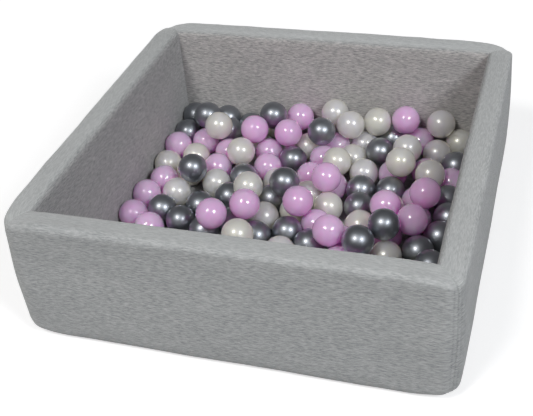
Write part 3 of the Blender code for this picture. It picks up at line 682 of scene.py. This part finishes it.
# %% Loose balls, and the size of a facet's ball
COLOURS = ("pink", "pearl", "graphite")
loose_names = sorted(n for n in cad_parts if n.startswith(tuple("ball_" + c + "_" for c in COLOURS)))
bed_names = sorted(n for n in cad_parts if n.startswith("ball_bed_"))
BALL_DIAMETER = 0.070
middles = {}
for name in loose_names:
    lowest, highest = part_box(name)
    middles[name] = np.array((lowest + highest) / 2)
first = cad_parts[loose_names[0]].data
outline = max(np.linalg.norm(np.array(v.co) - middles[loose_names[0]]) for v in first.vertices)
print(len(loose_names), "loose balls, outline radius", round(outline, 5))


# %% Votes for the joined balls
SMALL_FACET = 0.6
SAME_PLACE = 0.0006
LEAST_VOTES = 8
LEAST_AREA = 1e-7


def vote_middles(mesh, radius):
    """The middles of the balls in a joined node."""
    mesh.calc_loop_triangles()
    corners = np.array([v.co for v in mesh.vertices])
    triangles = np.array([t.vertices[:] for t in mesh.loop_triangles])
    a, b, c = (corners[triangles[:, k]] for k in range(3))
    normal = np.cross(b - a, c - a)
    twice_area = np.linalg.norm(normal, axis=1)
    keep = twice_area > LEAST_AREA
    a, b, c, normal, twice_area = a[keep], b[keep], c[keep], normal[keep], twice_area[keep]
    ab, ac = b - a, c - a
    by_ab = np.cross(normal, ab) * (ac ** 2).sum(1)[:, None]
    by_ac = np.cross(ac, normal) * (ab ** 2).sum(1)[:, None]
    centre = a + (by_ab + by_ac) / (2 * twice_area[:, None] ** 2)
    flat_radius = np.linalg.norm(centre - a, axis=1)
    depth = np.sqrt(np.maximum(radius ** 2 - flat_radius ** 2, 0))
    votes = centre - normal / twice_area[:, None] * depth[:, None]
    votes = votes[flat_radius < radius * SMALL_FACET]
    found = []
    while len(votes):
        near = np.linalg.norm(votes - votes[0], axis=1) < SAME_PLACE
        if near.sum() >= LEAST_VOTES:
            found.append(votes[near].mean(axis=0))
        votes = votes[~near]
    return found


bed_middles = []
for name in bed_names:
    found = vote_middles(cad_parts[name].data, outline)
    bed_middles += found
    print(name, len(found), "balls")
bed_middles = np.array(bed_middles)

# %% [markdown]
# ## Which ball is which colour
# The colours of the joined balls are read off the photograph in the same way as their places: as shares of
# the floor across and back, on a level 0.1 m up, along the line of sight. Each found ball goes to the
# nearest reading, and a ball that nothing shows gets a colour by a seeded chance.

# %% Colours read from the photograph
READ_LEVEL = 0.10
FARTHEST_MATCH = 0.06
VIEWER = np.array((0.556, -1.675, 1.364))
FLOOR_WIDTH = 2 * (PIT_HALF - WALL)
READ_SHARES = {
    "graphite": """0.06 0.91, 0.17 0.93, 0.21 0.85, 0.07 0.81, 0.16 0.37, 0.24 0.32, 0.31 0.27, 0.26 0.89,
        0.33 0.58, 0.33 0.48, 0.26 0.43, 0.47 0.68, 0.47 0.35, 0.48 0.27, 0.55 0.33, 0.62 0.29, 0.72 0.49,
        0.72 0.58, 0.79 0.57, 0.73 0.88, 0.94 0.75, 0.94 0.58, 0.95 0.49, 0.94 0.40, 0.95 0.30, 0.88 0.32""",
    "pink": """0.16 0.75, 0.07 0.73, 0.10 0.52, 0.08 0.45, 0.07 0.34, 0.16 0.28, 0.25 0.61, 0.25 0.70,
        0.39 0.64, 0.39 0.73, 0.52 0.88, 0.55 0.71, 0.54 0.62, 0.63 0.58, 0.60 0.40, 0.70 0.24, 0.77 0.67,
        0.58 0.80, 0.83 0.87, 0.94 0.66, 0.87 0.70, 0.84 0.57""",
    "pearl": """0.08 0.62, 0.16 0.66, 0.18 0.57, 0.09 0.23, 0.18 0.46, 0.26 0.53, 0.34 0.93, 0.46 0.59,
        0.50 0.76, 0.57 0.54, 0.63 0.48, 0.47 0.44, 0.54 0.40, 0.56 0.24, 0.75 0.41, 0.68 0.65, 0.66 0.82,
        0.65 0.73, 0.68 0.95, 0.94 0.90, 0.88 0.82, 0.82 0.27""",
}
readings = [(colour, [float(share) for share in place.split()])
            for colour, places in READ_SHARES.items() for place in places.split(",")]
read_places = np.array([place for _, place in readings])
print(len(readings), "readings")


def seen_shares(middle):
    """Where the line of sight to a ball crosses the reading level, as shares of the floor."""
    share = (VIEWER[2] - READ_LEVEL) / (VIEWER[2] - middle[2])
    crossing = VIEWER + (middle - VIEWER) * share
    return crossing[:2] / FLOOR_WIDTH + 0.5


chance = np.random.default_rng(11)
bed_colours = [COLOURS[k] for k in chance.integers(0, 3, len(bed_middles))]
shares = np.array([seen_shares(m) for m in bed_middles])
distance = np.linalg.norm(shares[:, None] - read_places[None], axis=2)
matched, used = set(), set()
for flat in np.argsort(distance, axis=None):
    ball, reading = (int(k) for k in np.unravel_index(flat, distance.shape))
    if distance[ball, reading] > FARTHEST_MATCH:
        break
    if ball not in matched and reading not in used:
        bed_colours[ball] = readings[reading][0]
        matched.add(ball)
        used.add(reading)
print(len(bed_middles), "joined balls,", len(matched), "matched with a reading")

# %% The two flat cloths
FLOOR_CLEARANCE = 0.0008
CLOTH_RISE = 0.0014
FLOOR_CLOTH = 0.0018
FLOOR_CELL, UNDERSIDE_CELL = 0.009, 0.01
LOW_BALL = 0.045
floor_half = PIT_HALF - WALL - FLOOR_CLEARANCE
low_balls = [m[:2] for m in bed_middles if m[2] < FLOOR_TOP + LOW_BALL]
floor_cloth = flat_cloth("floor_cloth", floor_half, FLOOR_TOP + CLOTH_RISE, FLOOR_CLOTH, low_balls,
                         FLOOR_CELL)
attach(floor_cloth, "pit")
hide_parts("cover_floor")
under_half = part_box("cover_underside")[1].x
underside_cloth = flat_cloth("underside_cloth", under_half, JERSEY, JERSEY, [], UNDERSIDE_CELL, lifted=True)
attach(underside_cloth, "pit")
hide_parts("cover_underside")
print("balls that dent the floor cloth", len(low_balls))

# %% [markdown]
# ## Ball finishes
# The balls are blow-moulded in a soft plastic. The pink ones are plain and glossy. The pearl ones are
# milky, with a pigment that shimmers. Both are thin shells that let light through, so it spreads inside
# them and softens their shaded side. The graphite ones hold metal flakes, so they shine like dull metal.
# All have a fine parting line where the two mould halves met. A shared group draws that line and the slight
# unevenness of the wall, from each ball's own place stored on its points. Each ball also leans to one of
# its finish's two shades by its own stored tint, as no two batches of colour are quite alike.

# %% The moulded shell's shader group
TINT_PART = 0.6
LINE_DARKENING = 0.25
MOULD_RELIEF = 0.0001
shell, shell_in, shell_out = open_group(
    "ShaderNodeTree", "moulded shell",
    [("Shell colour", "NodeSocketColor", (0.5, 0.5, 0.5, 1)),
     ("Deep colour", "NodeSocketColor", (0.3, 0.3, 0.3, 1)), ("Cloudiness", "NodeSocketFloat", 0.3),
     ("Roughness", "NodeSocketFloat", 0.2), ("Line width", "NodeSocketFloat", 0.0005)],
    [("Color", "NodeSocketColor"), ("Height", "NodeSocketFloat"), ("Roughness", "NodeSocketFloat")])
ball_place = add(shell, "ShaderNodeAttribute", attribute_name="ball_place").outputs["Vector"]
ball_tint = add(shell, "ShaderNodeAttribute", attribute_name="ball_tint").outputs["Fac"]
cloud = add(shell, "ShaderNodeTexNoise", {"Vector": ball_place, "Scale": 26.0, "Detail": 1.0,
                                          "Distortion": 0.3}).outputs["Fac"]
ball_lean = calc(shell, "MULTIPLY_ADD", stretch(shell, ball_tint, 0.25, 0.75), TINT_PART,
                 calc(shell, "MULTIPLY", stretch(shell, cloud, 0.3, 0.7), 1 - TINT_PART))
cloud_share = calc(shell, "MULTIPLY", ball_lean, shell_in["Cloudiness"])
body_colour = mix_colour(shell, cloud_share, shell_in["Shell colour"], shell_in["Deep colour"])
tint_share = stretch(shell, ball_tint, 0.0, 1.0, 0.94, 1.06)
tint = add(shell, "ShaderNodeVectorMath", {0: body_colour}, operation="SCALE")
shell.links.new(tint_share, tint.inputs["Scale"])
level = add(shell, "ShaderNodeSeparateXYZ", {0: ball_place}).outputs["Z"]
off_line = stretch(shell, calc(shell, "ABSOLUTE", level), 0.0, shell_in["Line width"])
line_share = calc(shell, "SUBTRACT", 1.0, off_line)
shell.links.new(mix_colour(shell, calc(shell, "MULTIPLY", line_share, LINE_DARKENING), tint.outputs[0],
                           shell_in["Deep colour"]), shell_out["Color"])
shell.links.new(calc(shell, "MULTIPLY_ADD", line_share, 0.6, calc(shell, "MULTIPLY", cloud, 0.5)),
                shell_out["Height"])
shell.links.new(calc(shell, "ADD", shell_in["Roughness"], stretch(shell, cloud, 0.3, 0.7, -0.02, 0.03)),
                shell_out["Roughness"])
print("shell group nodes", len(shell.nodes))


# %% The three ball materials
def ball_material(name, shell_colour, deep_colour, cloudiness, roughness, **plain):
    """A moulded plastic ball."""
    made, tree, shader = open_material(name, roughness, **plain)
    ball = add(tree, "ShaderNodeGroup", {"Shell colour": (*shell_colour, 1), "Deep colour": (*deep_colour, 1),
                                         "Cloudiness": cloudiness, "Roughness": roughness}, node_tree=shell)
    wire_finish(tree, shader, ball.outputs, 0.5, MOULD_RELIEF)
    return made


THIN_SHELL = {"Subsurface_Weight": 0.9, "Subsurface_Scale": 0.150, "Specular_IOR_Level": 0.5}
ball_finishes = {
    "pink": ball_material("ball_pink", (0.86, 0.457, 0.79), (0.83, 0.377, 0.71), 0.25, 0.24, **THIN_SHELL,
                          Subsurface_Radius=(1.0, 0.45, 0.75), Coat_Weight=0.7, Coat_Roughness=0.08),
    "pearl": ball_material("ball_pearl", (0.73, 0.71, 0.73), (0.73, 0.72, 0.58), 0.95, 0.36, **THIN_SHELL,
                           metallic=0.15, Subsurface_Radius=(1.0, 0.95, 0.75), Coat_Weight=1.0,
                           Coat_Roughness=0.10, Sheen_Weight=0.45, Sheen_Roughness=0.35,
                           Sheen_Tint=(1.0, 0.93, 0.70, 1)),
    "graphite": ball_material("ball_graphite", (0.315, 0.336, 0.372), (0.265, 0.283, 0.315), 0.3, 0.42,
                              metallic=1.0, Coat_Weight=0.8, Coat_Roughness=0.13),
}
print("ball finishes", ", ".join(ball_finishes))

# %% [markdown]
# ## Smooth balls by Geometry Nodes
# One tree makes all the balls: it puts an icosphere on every point of a small mesh, turns each by a seeded
# random angle so that no two parting lines match, stores each ball's own place and tint, and makes the
# result real. The joined balls become one mesh for each colour, and every loose ball stays a piece of its
# own.

# %% The tree that puts balls on points
balls_tree, balls_in, balls_out = open_group(
    "GeometryNodeTree", "balls on points",
    [("Points", "NodeSocketGeometry", None), ("Ball diameter", "NodeSocketFloat", BALL_DIAMETER),
     ("Subdivisions", "NodeSocketInt", 4), ("Seed", "NodeSocketInt", 0),
     ("Finish", "NodeSocketMaterial", None)],
    [("Balls", "NodeSocketGeometry")])
ball_shape = add(balls_tree, "GeometryNodeMeshIcoSphere", {
    "Radius": calc(balls_tree, "DIVIDE", balls_in["Ball diameter"], 2.0),
    "Subdivisions": balls_in["Subdivisions"]})
own_place = add(balls_tree, "GeometryNodeStoreNamedAttribute",
                {"Geometry": ball_shape.outputs["Mesh"], "Name": "ball_place"}, data_type="FLOAT_VECTOR")
balls_tree.links.new(add(balls_tree, "GeometryNodeInputPosition").outputs[0], own_place.inputs["Value"])
smooth = add(balls_tree, "GeometryNodeSetShadeSmooth", {"Geometry": own_place.outputs[0]})
turns = add(balls_tree, "FunctionNodeRandomValue", {"Seed": balls_in["Seed"]}, data_type="FLOAT_VECTOR")
turns.inputs["Max"].default_value = (2 * math.pi, 2 * math.pi, 2 * math.pi)
placed = add(balls_tree, "GeometryNodeInstanceOnPoints", {
    "Points": balls_in["Points"], "Instance": smooth.outputs[0], "Rotation": turns.outputs["Value"]})
tints = add(balls_tree, "FunctionNodeRandomValue", {"Seed": balls_in["Seed"]}, data_type="FLOAT")
tinted = add(balls_tree, "GeometryNodeStoreNamedAttribute",
             {"Geometry": placed.outputs[0], "Name": "ball_tint", "Value": tints.outputs["Value"]},
             data_type="FLOAT", domain="INSTANCE")
real = add(balls_tree, "GeometryNodeRealizeInstances", {"Geometry": tinted.outputs[0]})
coloured = add(balls_tree, "GeometryNodeSetMaterial",
               {"Geometry": real.outputs[0], "Material": balls_in["Finish"]})
balls_tree.links.new(coloured.outputs[0], balls_out["Balls"])
print("ball tree nodes", len(balls_tree.nodes))


# %% Running a tree on a piece
def grow(name, mesh, tree, values):
    """Runs a Geometry Nodes tree on a mesh and leaves the result as a plain piece."""
    piece = new_object(name, mesh)
    step = piece.modifiers.new("grow", "NODES")
    step.node_group = tree
    sockets = {item.name: item.identifier for item in tree.interface.items_tree if item.in_out == "INPUT"}
    for key, value in values.items():
        step[sockets[key]] = value
    shown = piece.evaluated_get(bpy.context.evaluated_depsgraph_get())
    made = bpy.data.meshes.new_from_object(shown)
    made.name = name
    piece.modifiers.clear()
    piece.data = made
    return piece


# %% [markdown]
# ## Where balls press together
# The plastic is thin, so two balls that lie hard against each other flatten where they touch. Any part of a
# ball that reaches past the middle plane towards a close neighbour is pressed back to just short of that
# plane.

# %% Flattening the touching spots
PRESS_GAP = 0.0001
all_middles = np.array([middles[n] for n in loose_names] + list(bed_middles))


def press_flat(points, middle):
    """Moves one ball's points back to its own side of the plane half way to each close neighbour."""
    apart = all_middles - middle
    gap = np.linalg.norm(apart, axis=1)
    for k in np.flatnonzero((gap > 1e-4) & (gap < BALL_DIAMETER)):
        way = apart[k] / gap[k]
        beyond = np.maximum((points - middle) @ way - (gap[k] / 2 - PRESS_GAP), 0)
        points -= beyond[:, None] * way


def make_balls(name, places, colour, subdivisions, seed):
    """One mesh of balls of a colour."""
    mesh = bpy.data.meshes.new(name + "_points")
    mesh.from_pydata([tuple(p) for p in places], [], [])
    piece = grow(name, mesh, balls_tree, {"Ball diameter": BALL_DIAMETER, "Subdivisions": subdivisions,
                                          "Seed": seed, "Finish": ball_finishes[colour]})
    places = np.array(places)
    blocks = np.array([v.co for v in piece.data.vertices]).reshape(len(places), -1, 3)
    for block in blocks:
        press_flat(block, places[np.linalg.norm(places - block.mean(axis=0), axis=1).argmin()])
    piece.data.vertices.foreach_set("co", blocks.ravel())
    piece.data.update()
    return piece


# %% The balls
FILL_SEED = 50
for k, name in enumerate(loose_names):
    colour = name.split("_")[1]
    ball = make_balls(name.replace("ball_", "play_ball_"), [middles[name]], colour, 5, k)
    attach(ball, name)
    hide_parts(name)
for k, colour in enumerate(COLOURS):
    places = [m for m, c in zip(bed_middles, bed_colours) if c == colour]
    fill = make_balls("fill_" + colour, places, colour, 4, FILL_SEED + k)
    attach(fill, "ball_bed")
    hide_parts(*bed_names)
    print(fill.name, len(places), "balls", len(fill.data.polygons), "faces")

# %% [markdown]
# ## Foam, tape and metal
# What stays from the model keeps its shape and gets a finish: open-cell foam, woven zip tape and satin
# metal. They read Object coordinates, because each of these pieces is a plain block in its own place.


# %% Materials for the carried-over pieces
GRAIN_SPREAD = 0.06


def grained(name, colour, dark, size, roughness, depth, metallic=0.0, squeeze=(1, 1, 1)):
    """A finish with fine grain on Object coordinates."""
    made, tree, shader = open_material(name, roughness, metallic)
    place = add(tree, "ShaderNodeTexCoord").outputs["Object"]
    turned = add(tree, "ShaderNodeMapping", {"Vector": place, "Scale": squeeze})
    grain = add(tree, "ShaderNodeTexNoise", {"Vector": turned.outputs[0], "Scale": 1 / size, "Detail": 4.0})
    share = grain.outputs["Fac"]
    rougher, smoother = roughness + GRAIN_SPREAD, roughness - GRAIN_SPREAD
    finish = {"Color": mix_colour(tree, stretch(tree, share, 0.35, 0.65), (*dark, 1), (*colour, 1)),
              "Roughness": stretch(tree, share, 0.3, 0.7, smoother, rougher), "Height": share}
    wire_finish(tree, shader, finish, 0.5, depth)
    return made


foam = grained("foam_open_cell", (0.80, 0.78, 0.70), (0.62, 0.60, 0.52), 0.0016, 0.90, 0.0004)
tape = grained("zip_tape_weave", (0.33, 0.34, 0.35), (0.22, 0.23, 0.24), 0.0009, 0.85, 0.0001,
               squeeze=(1, 1, 2.5))
coil = grained("zip_coil_nylon", (0.34, 0.35, 0.36), (0.26, 0.27, 0.28), 0.002, 0.45, 0.00005)
metal = grained("zip_metal_satin", (0.62, 0.62, 0.63), (0.50, 0.50, 0.51), 0.0012, 0.32, 0.00004,
                metallic=1.0, squeeze=(0.3, 1, 1))
thread = grained("sewing_thread", (0.42, 0.43, 0.44), (0.33, 0.34, 0.35), 0.0006, 0.80, 0.00005)

carried_over = [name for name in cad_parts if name.startswith(("foam", "zip"))]
for name in carried_over:
    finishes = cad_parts[name].data.materials
    finishes.clear()
    finishes.append(foam if name.startswith("foam") else tape if "tape" in name else metal)
print("carried-over pieces", len(carried_over))

# %% [markdown]
# ## Zip teeth and stitches
# A coil zip is two rows of small hooks that mesh, and a row of topstitching holds the slit's edge on each
# side. Both repeat along a straight line, which is what Geometry Nodes do well: a line of points, an
# instance on each, every second one turned over, and then real geometry.

# %% The tree that repeats a shape along a line
repeat_tree, repeat_in, repeat_out = open_group(
    "GeometryNodeTree", "repeat along a line",
    [("Shape", "NodeSocketGeometry", None), ("Start", "NodeSocketVector", (0, 0, 0)),
     ("Step", "NodeSocketVector", (0.001, 0, 0)), ("Count", "NodeSocketInt", 10),
     ("Turn every second", "NodeSocketFloat", 0.0), ("Finish", "NodeSocketMaterial", None)],
    [("Pieces", "NodeSocketGeometry")])
points_line = add(repeat_tree, "GeometryNodeMeshLine", {"Count": repeat_in["Count"],
                                                        "Start Location": repeat_in["Start"],
                                                        "Offset": repeat_in["Step"]}, mode="OFFSET")
odd = calc(repeat_tree, "MODULO", add(repeat_tree, "GeometryNodeInputIndex").outputs[0], 2.0)
turn = calc(repeat_tree, "MULTIPLY", odd, repeat_in["Turn every second"])
turn_over = add(repeat_tree, "ShaderNodeCombineXYZ", {"X": turn})
repeated = add(repeat_tree, "GeometryNodeInstanceOnPoints", {
    "Points": points_line.outputs["Mesh"], "Instance": repeat_in["Shape"], "Rotation": turn_over.outputs[0]})
made_real = add(repeat_tree, "GeometryNodeRealizeInstances", {"Geometry": repeated.outputs[0]})
finished = add(repeat_tree, "GeometryNodeSetMaterial",
               {"Geometry": made_real.outputs[0], "Material": repeat_in["Finish"]})
repeat_tree.links.new(finished.outputs[0], repeat_out["Pieces"])
print("repeat tree nodes", len(repeat_tree.nodes))


# %% A tooth and a stitch
def rounded_bar(name, size, place, bevel):
    """A small bar with rounded edges."""
    bm = bmesh.new()
    bmesh.ops.create_cube(bm, size=1, matrix=Matrix.Translation(place) @ Matrix.Diagonal((*size, 1)))
    bmesh.ops.bevel(bm, geom=bm.edges[:], offset=bevel, segments=1, affect="EDGES")
    bmesh.ops.recalc_face_normals(bm, faces=bm.faces)
    mesh = bpy.data.meshes.new(name)
    bm.to_mesh(mesh)
    bm.free()
    mesh.shade_smooth()
    return mesh


chain_low, chain_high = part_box("zip_chain")
chain_middle = (chain_low + chain_high) / 2
chain_size = chain_high - chain_low
TOOTH_PITCH = 0.00125
TOOTH_WIDTH = 0.0009
TOOTH_LENGTH = 0.0030
TOOTH_REACH = 0.0010
CHAIN_END = 0.001
tooth = rounded_bar("tooth", (TOOTH_WIDTH, chain_size.y * 0.9, TOOTH_LENGTH), (0, 0, TOOTH_REACH), 0.0003)
tooth_count = int((chain_size.x - 2 * CHAIN_END) / TOOTH_PITCH)
teeth = grow("zip_teeth", tooth, repeat_tree, {
    "Start": (chain_low.x + CHAIN_END, chain_middle.y, chain_middle.z), "Step": (TOOTH_PITCH, 0, 0),
    "Count": tooth_count, "Turn every second": math.pi, "Finish": coil})
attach(teeth, "pit")
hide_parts("zip_chain")
print("zip teeth", tooth_count)

# %% Topstitching along the slit
STITCH_PITCH = 0.0032
STITCH_SIZE = (0.0024, 0.0006, 0.0006)
STITCH_PROUD = 0.0001
ROW_END = SLIT_END + 0.004
ROW_AWAY = SLIT_HALF + 0.0030
stitch_count = int(2 * ROW_END / STITCH_PITCH)
for label, side in (("upper", 1), ("lower", -1)):
    stitch = rounded_bar("stitch", STITCH_SIZE, (0, 0, 0), 0.0002)
    seam = grow("zip_stitches_" + label, stitch, repeat_tree, {
        "Start": (-ROW_END, PIT_HALF + STITCH_PROUD, ZIP_HEIGHT + side * ROW_AWAY),
        "Step": (STITCH_PITCH, 0, 0), "Count": stitch_count, "Turn every second": 0.0, "Finish": thread})
    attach(seam, "pit")
print("stitches a row", stitch_count)

# %% [markdown]
# ## Floor, light and camera
# The object stands on a plain pale floor. The light is that of a product studio: a dim room that is
# brighter above, and two round soft lamps behind the camera, left and right of it, which make the twin
# highlights on the balls. Two long lamps near the floor, lower than the rim, light the back and the left
# side, and nothing inside. The white round the object is only what the camera and mirrored rays see: the
# floor glows for them, more so further out where the lamps fade, and the room is white, though for mirrored
# rays only near the horizon. Neither adds light to the object.

# %% The floor
FLOOR_HALF = 20
NEAR_GLOW, FAR_GLOW = 0.62, 1.0
GLOW_START, GLOW_END = 1.5, 4.5
floor_corners = [(x * FLOOR_HALF, y * FLOOR_HALF, 0) for x, y in ((-1, -1), (1, -1), (1, 1), (-1, 1))]
floor_mesh = bpy.data.meshes.new("studio_floor")
floor_mesh.from_pydata(floor_corners, [], [(0, 1, 2, 3)])
studio_floor = new_object("studio_floor", floor_mesh)
floor_paint, floor_nodes, floor_shader = open_material("studio_floor", 0.9, Specular_IOR_Level=0.1,
                                                       Base_Color=(0.55, 0.55, 0.56, 1),
                                                       Emission_Color=(1, 1, 1, 1))
rays = add(floor_nodes, "ShaderNodeLightPath").outputs
seen = calc(floor_nodes, "MAXIMUM", rays["Is Camera Ray"],
            calc(floor_nodes, "MAXIMUM", rays["Is Glossy Ray"], rays["Is Transmission Ray"]))
floor_place = add(floor_nodes, "ShaderNodeTexCoord").outputs["Object"]
away = add(floor_nodes, "ShaderNodeVectorMath", {0: floor_place}, operation="LENGTH").outputs["Value"]
glow = stretch(floor_nodes, away, GLOW_START, GLOW_END, NEAR_GLOW, FAR_GLOW)
floor_nodes.links.new(calc(floor_nodes, "MULTIPLY", seen, glow), floor_shader["Emission Strength"])
floor_mesh.materials.append(floor_paint)
print("floor", 2 * FLOOR_HALF, "m square")

# %% The room's light
ROOM_SIDES = (0.06, 0.06, 0.06, 1)
ROOM_ABOVE = (0.14, 0.14, 0.14, 1)
ROOM_SEEN = (1.0, 1.0, 1.0, 1)
world = bpy.data.worlds.new("pale_room")
scene.world = world
world.use_nodes = True
room = world.node_tree
background = room.nodes["Background"]
direction = add(room, "ShaderNodeTexCoord").outputs["Generated"]
up = add(room, "ShaderNodeSeparateXYZ", {0: direction}).outputs["Z"]
room_light = mix_colour(room, stretch(room, up, 0.10, 0.75), ROOM_SIDES, ROOM_ABOVE)
room_path = add(room, "ShaderNodeLightPath").outputs
mirrored = calc(room, "MULTIPLY", stretch(room, up, 0.30, 0.10),
                calc(room, "MAXIMUM", room_path["Is Glossy Ray"], room_path["Is Transmission Ray"]))
white_share = calc(room, "MAXIMUM", room_path["Is Camera Ray"], mirrored)
room.links.new(mix_colour(room, white_share, room_light, ROOM_SEEN), background.inputs["Color"])
background.inputs["Strength"].default_value = 1.0
print("room nodes", len(room.nodes))

# %% Lamps
CAMERA_PLACE = Vector((0.55571, -1.67534, 1.36438))
CAMERA_TURN = Matrix(((0.95427, -0.11504, 0.27592),
                      (0.28976, 0.58287, -0.75915),
                      (-0.07349, 0.80438, 0.58955)))
HEAP_MIDDLE = Vector((0.03, 0.145, 0.13))
LAMP_STEP_BACK = 2.4
LAMP_WIDTH = 1.5
# Each soft lamp: power, how far right of and above the camera its line passes, and its colour.
SOFT_LAMPS = {"left_lamp": (175, -0.98, 0.99, (1.0, 0.985, 0.955)),
              "right_lamp": (161, 1.10, 0.60, (0.96, 0.985, 1.0))}
STRIP_SIZE = (2.4, 0.24)
# Each low lamp: power, place and turn.
STRIPS = {"back_strip": (20, (0, 2.2, 0.15), 180), "left_strip": (12, (-2.2, 0.5, 0.15), -90)}


def area_lamp(name, shape, size, power, place):
    """An area lamp at a place."""
    light = bpy.data.lights.new(name, "AREA")
    light.shape = shape
    light.size, light.size_y = size
    light.energy = power
    lamp = new_object(name, light)
    lamp.location = place
    return lamp


for name, (power, right, above, colour) in SOFT_LAMPS.items():
    beside = CAMERA_PLACE + CAMERA_TURN @ Vector((right, above, 0))
    lamp = area_lamp(name, "DISK", (LAMP_WIDTH, LAMP_WIDTH), power,
                     HEAP_MIDDLE + (beside - HEAP_MIDDLE) * LAMP_STEP_BACK)
    lamp.data.color = colour
    lamp.rotation_euler = (HEAP_MIDDLE - lamp.location).to_track_quat("-Z", "Y").to_euler()
    print(name, power, "W at", [round(c, 2) for c in lamp.location])
for name, (power, place, turn) in STRIPS.items():
    lamp = area_lamp(name, "RECTANGLE", STRIP_SIZE, power, place)
    lamp.rotation_euler = (math.radians(90), 0, math.radians(turn))
    lamp.visible_camera = lamp.visible_glossy = False
    print(name, power, "W at", place)

# %% Camera
LENS, SENSOR_WIDTH = 64.02, 36.0
camera_data = bpy.data.cameras.new("camera")
camera_data.lens = LENS
camera_data.sensor_width = SENSOR_WIDTH
camera_data.sensor_fit = "HORIZONTAL"
camera = new_object("camera", camera_data)
camera.matrix_world = Matrix.Translation(CAMERA_PLACE) @ CAMERA_TURN.to_4x4()
scene.camera = camera
print("camera", camera_data.lens, "mm")
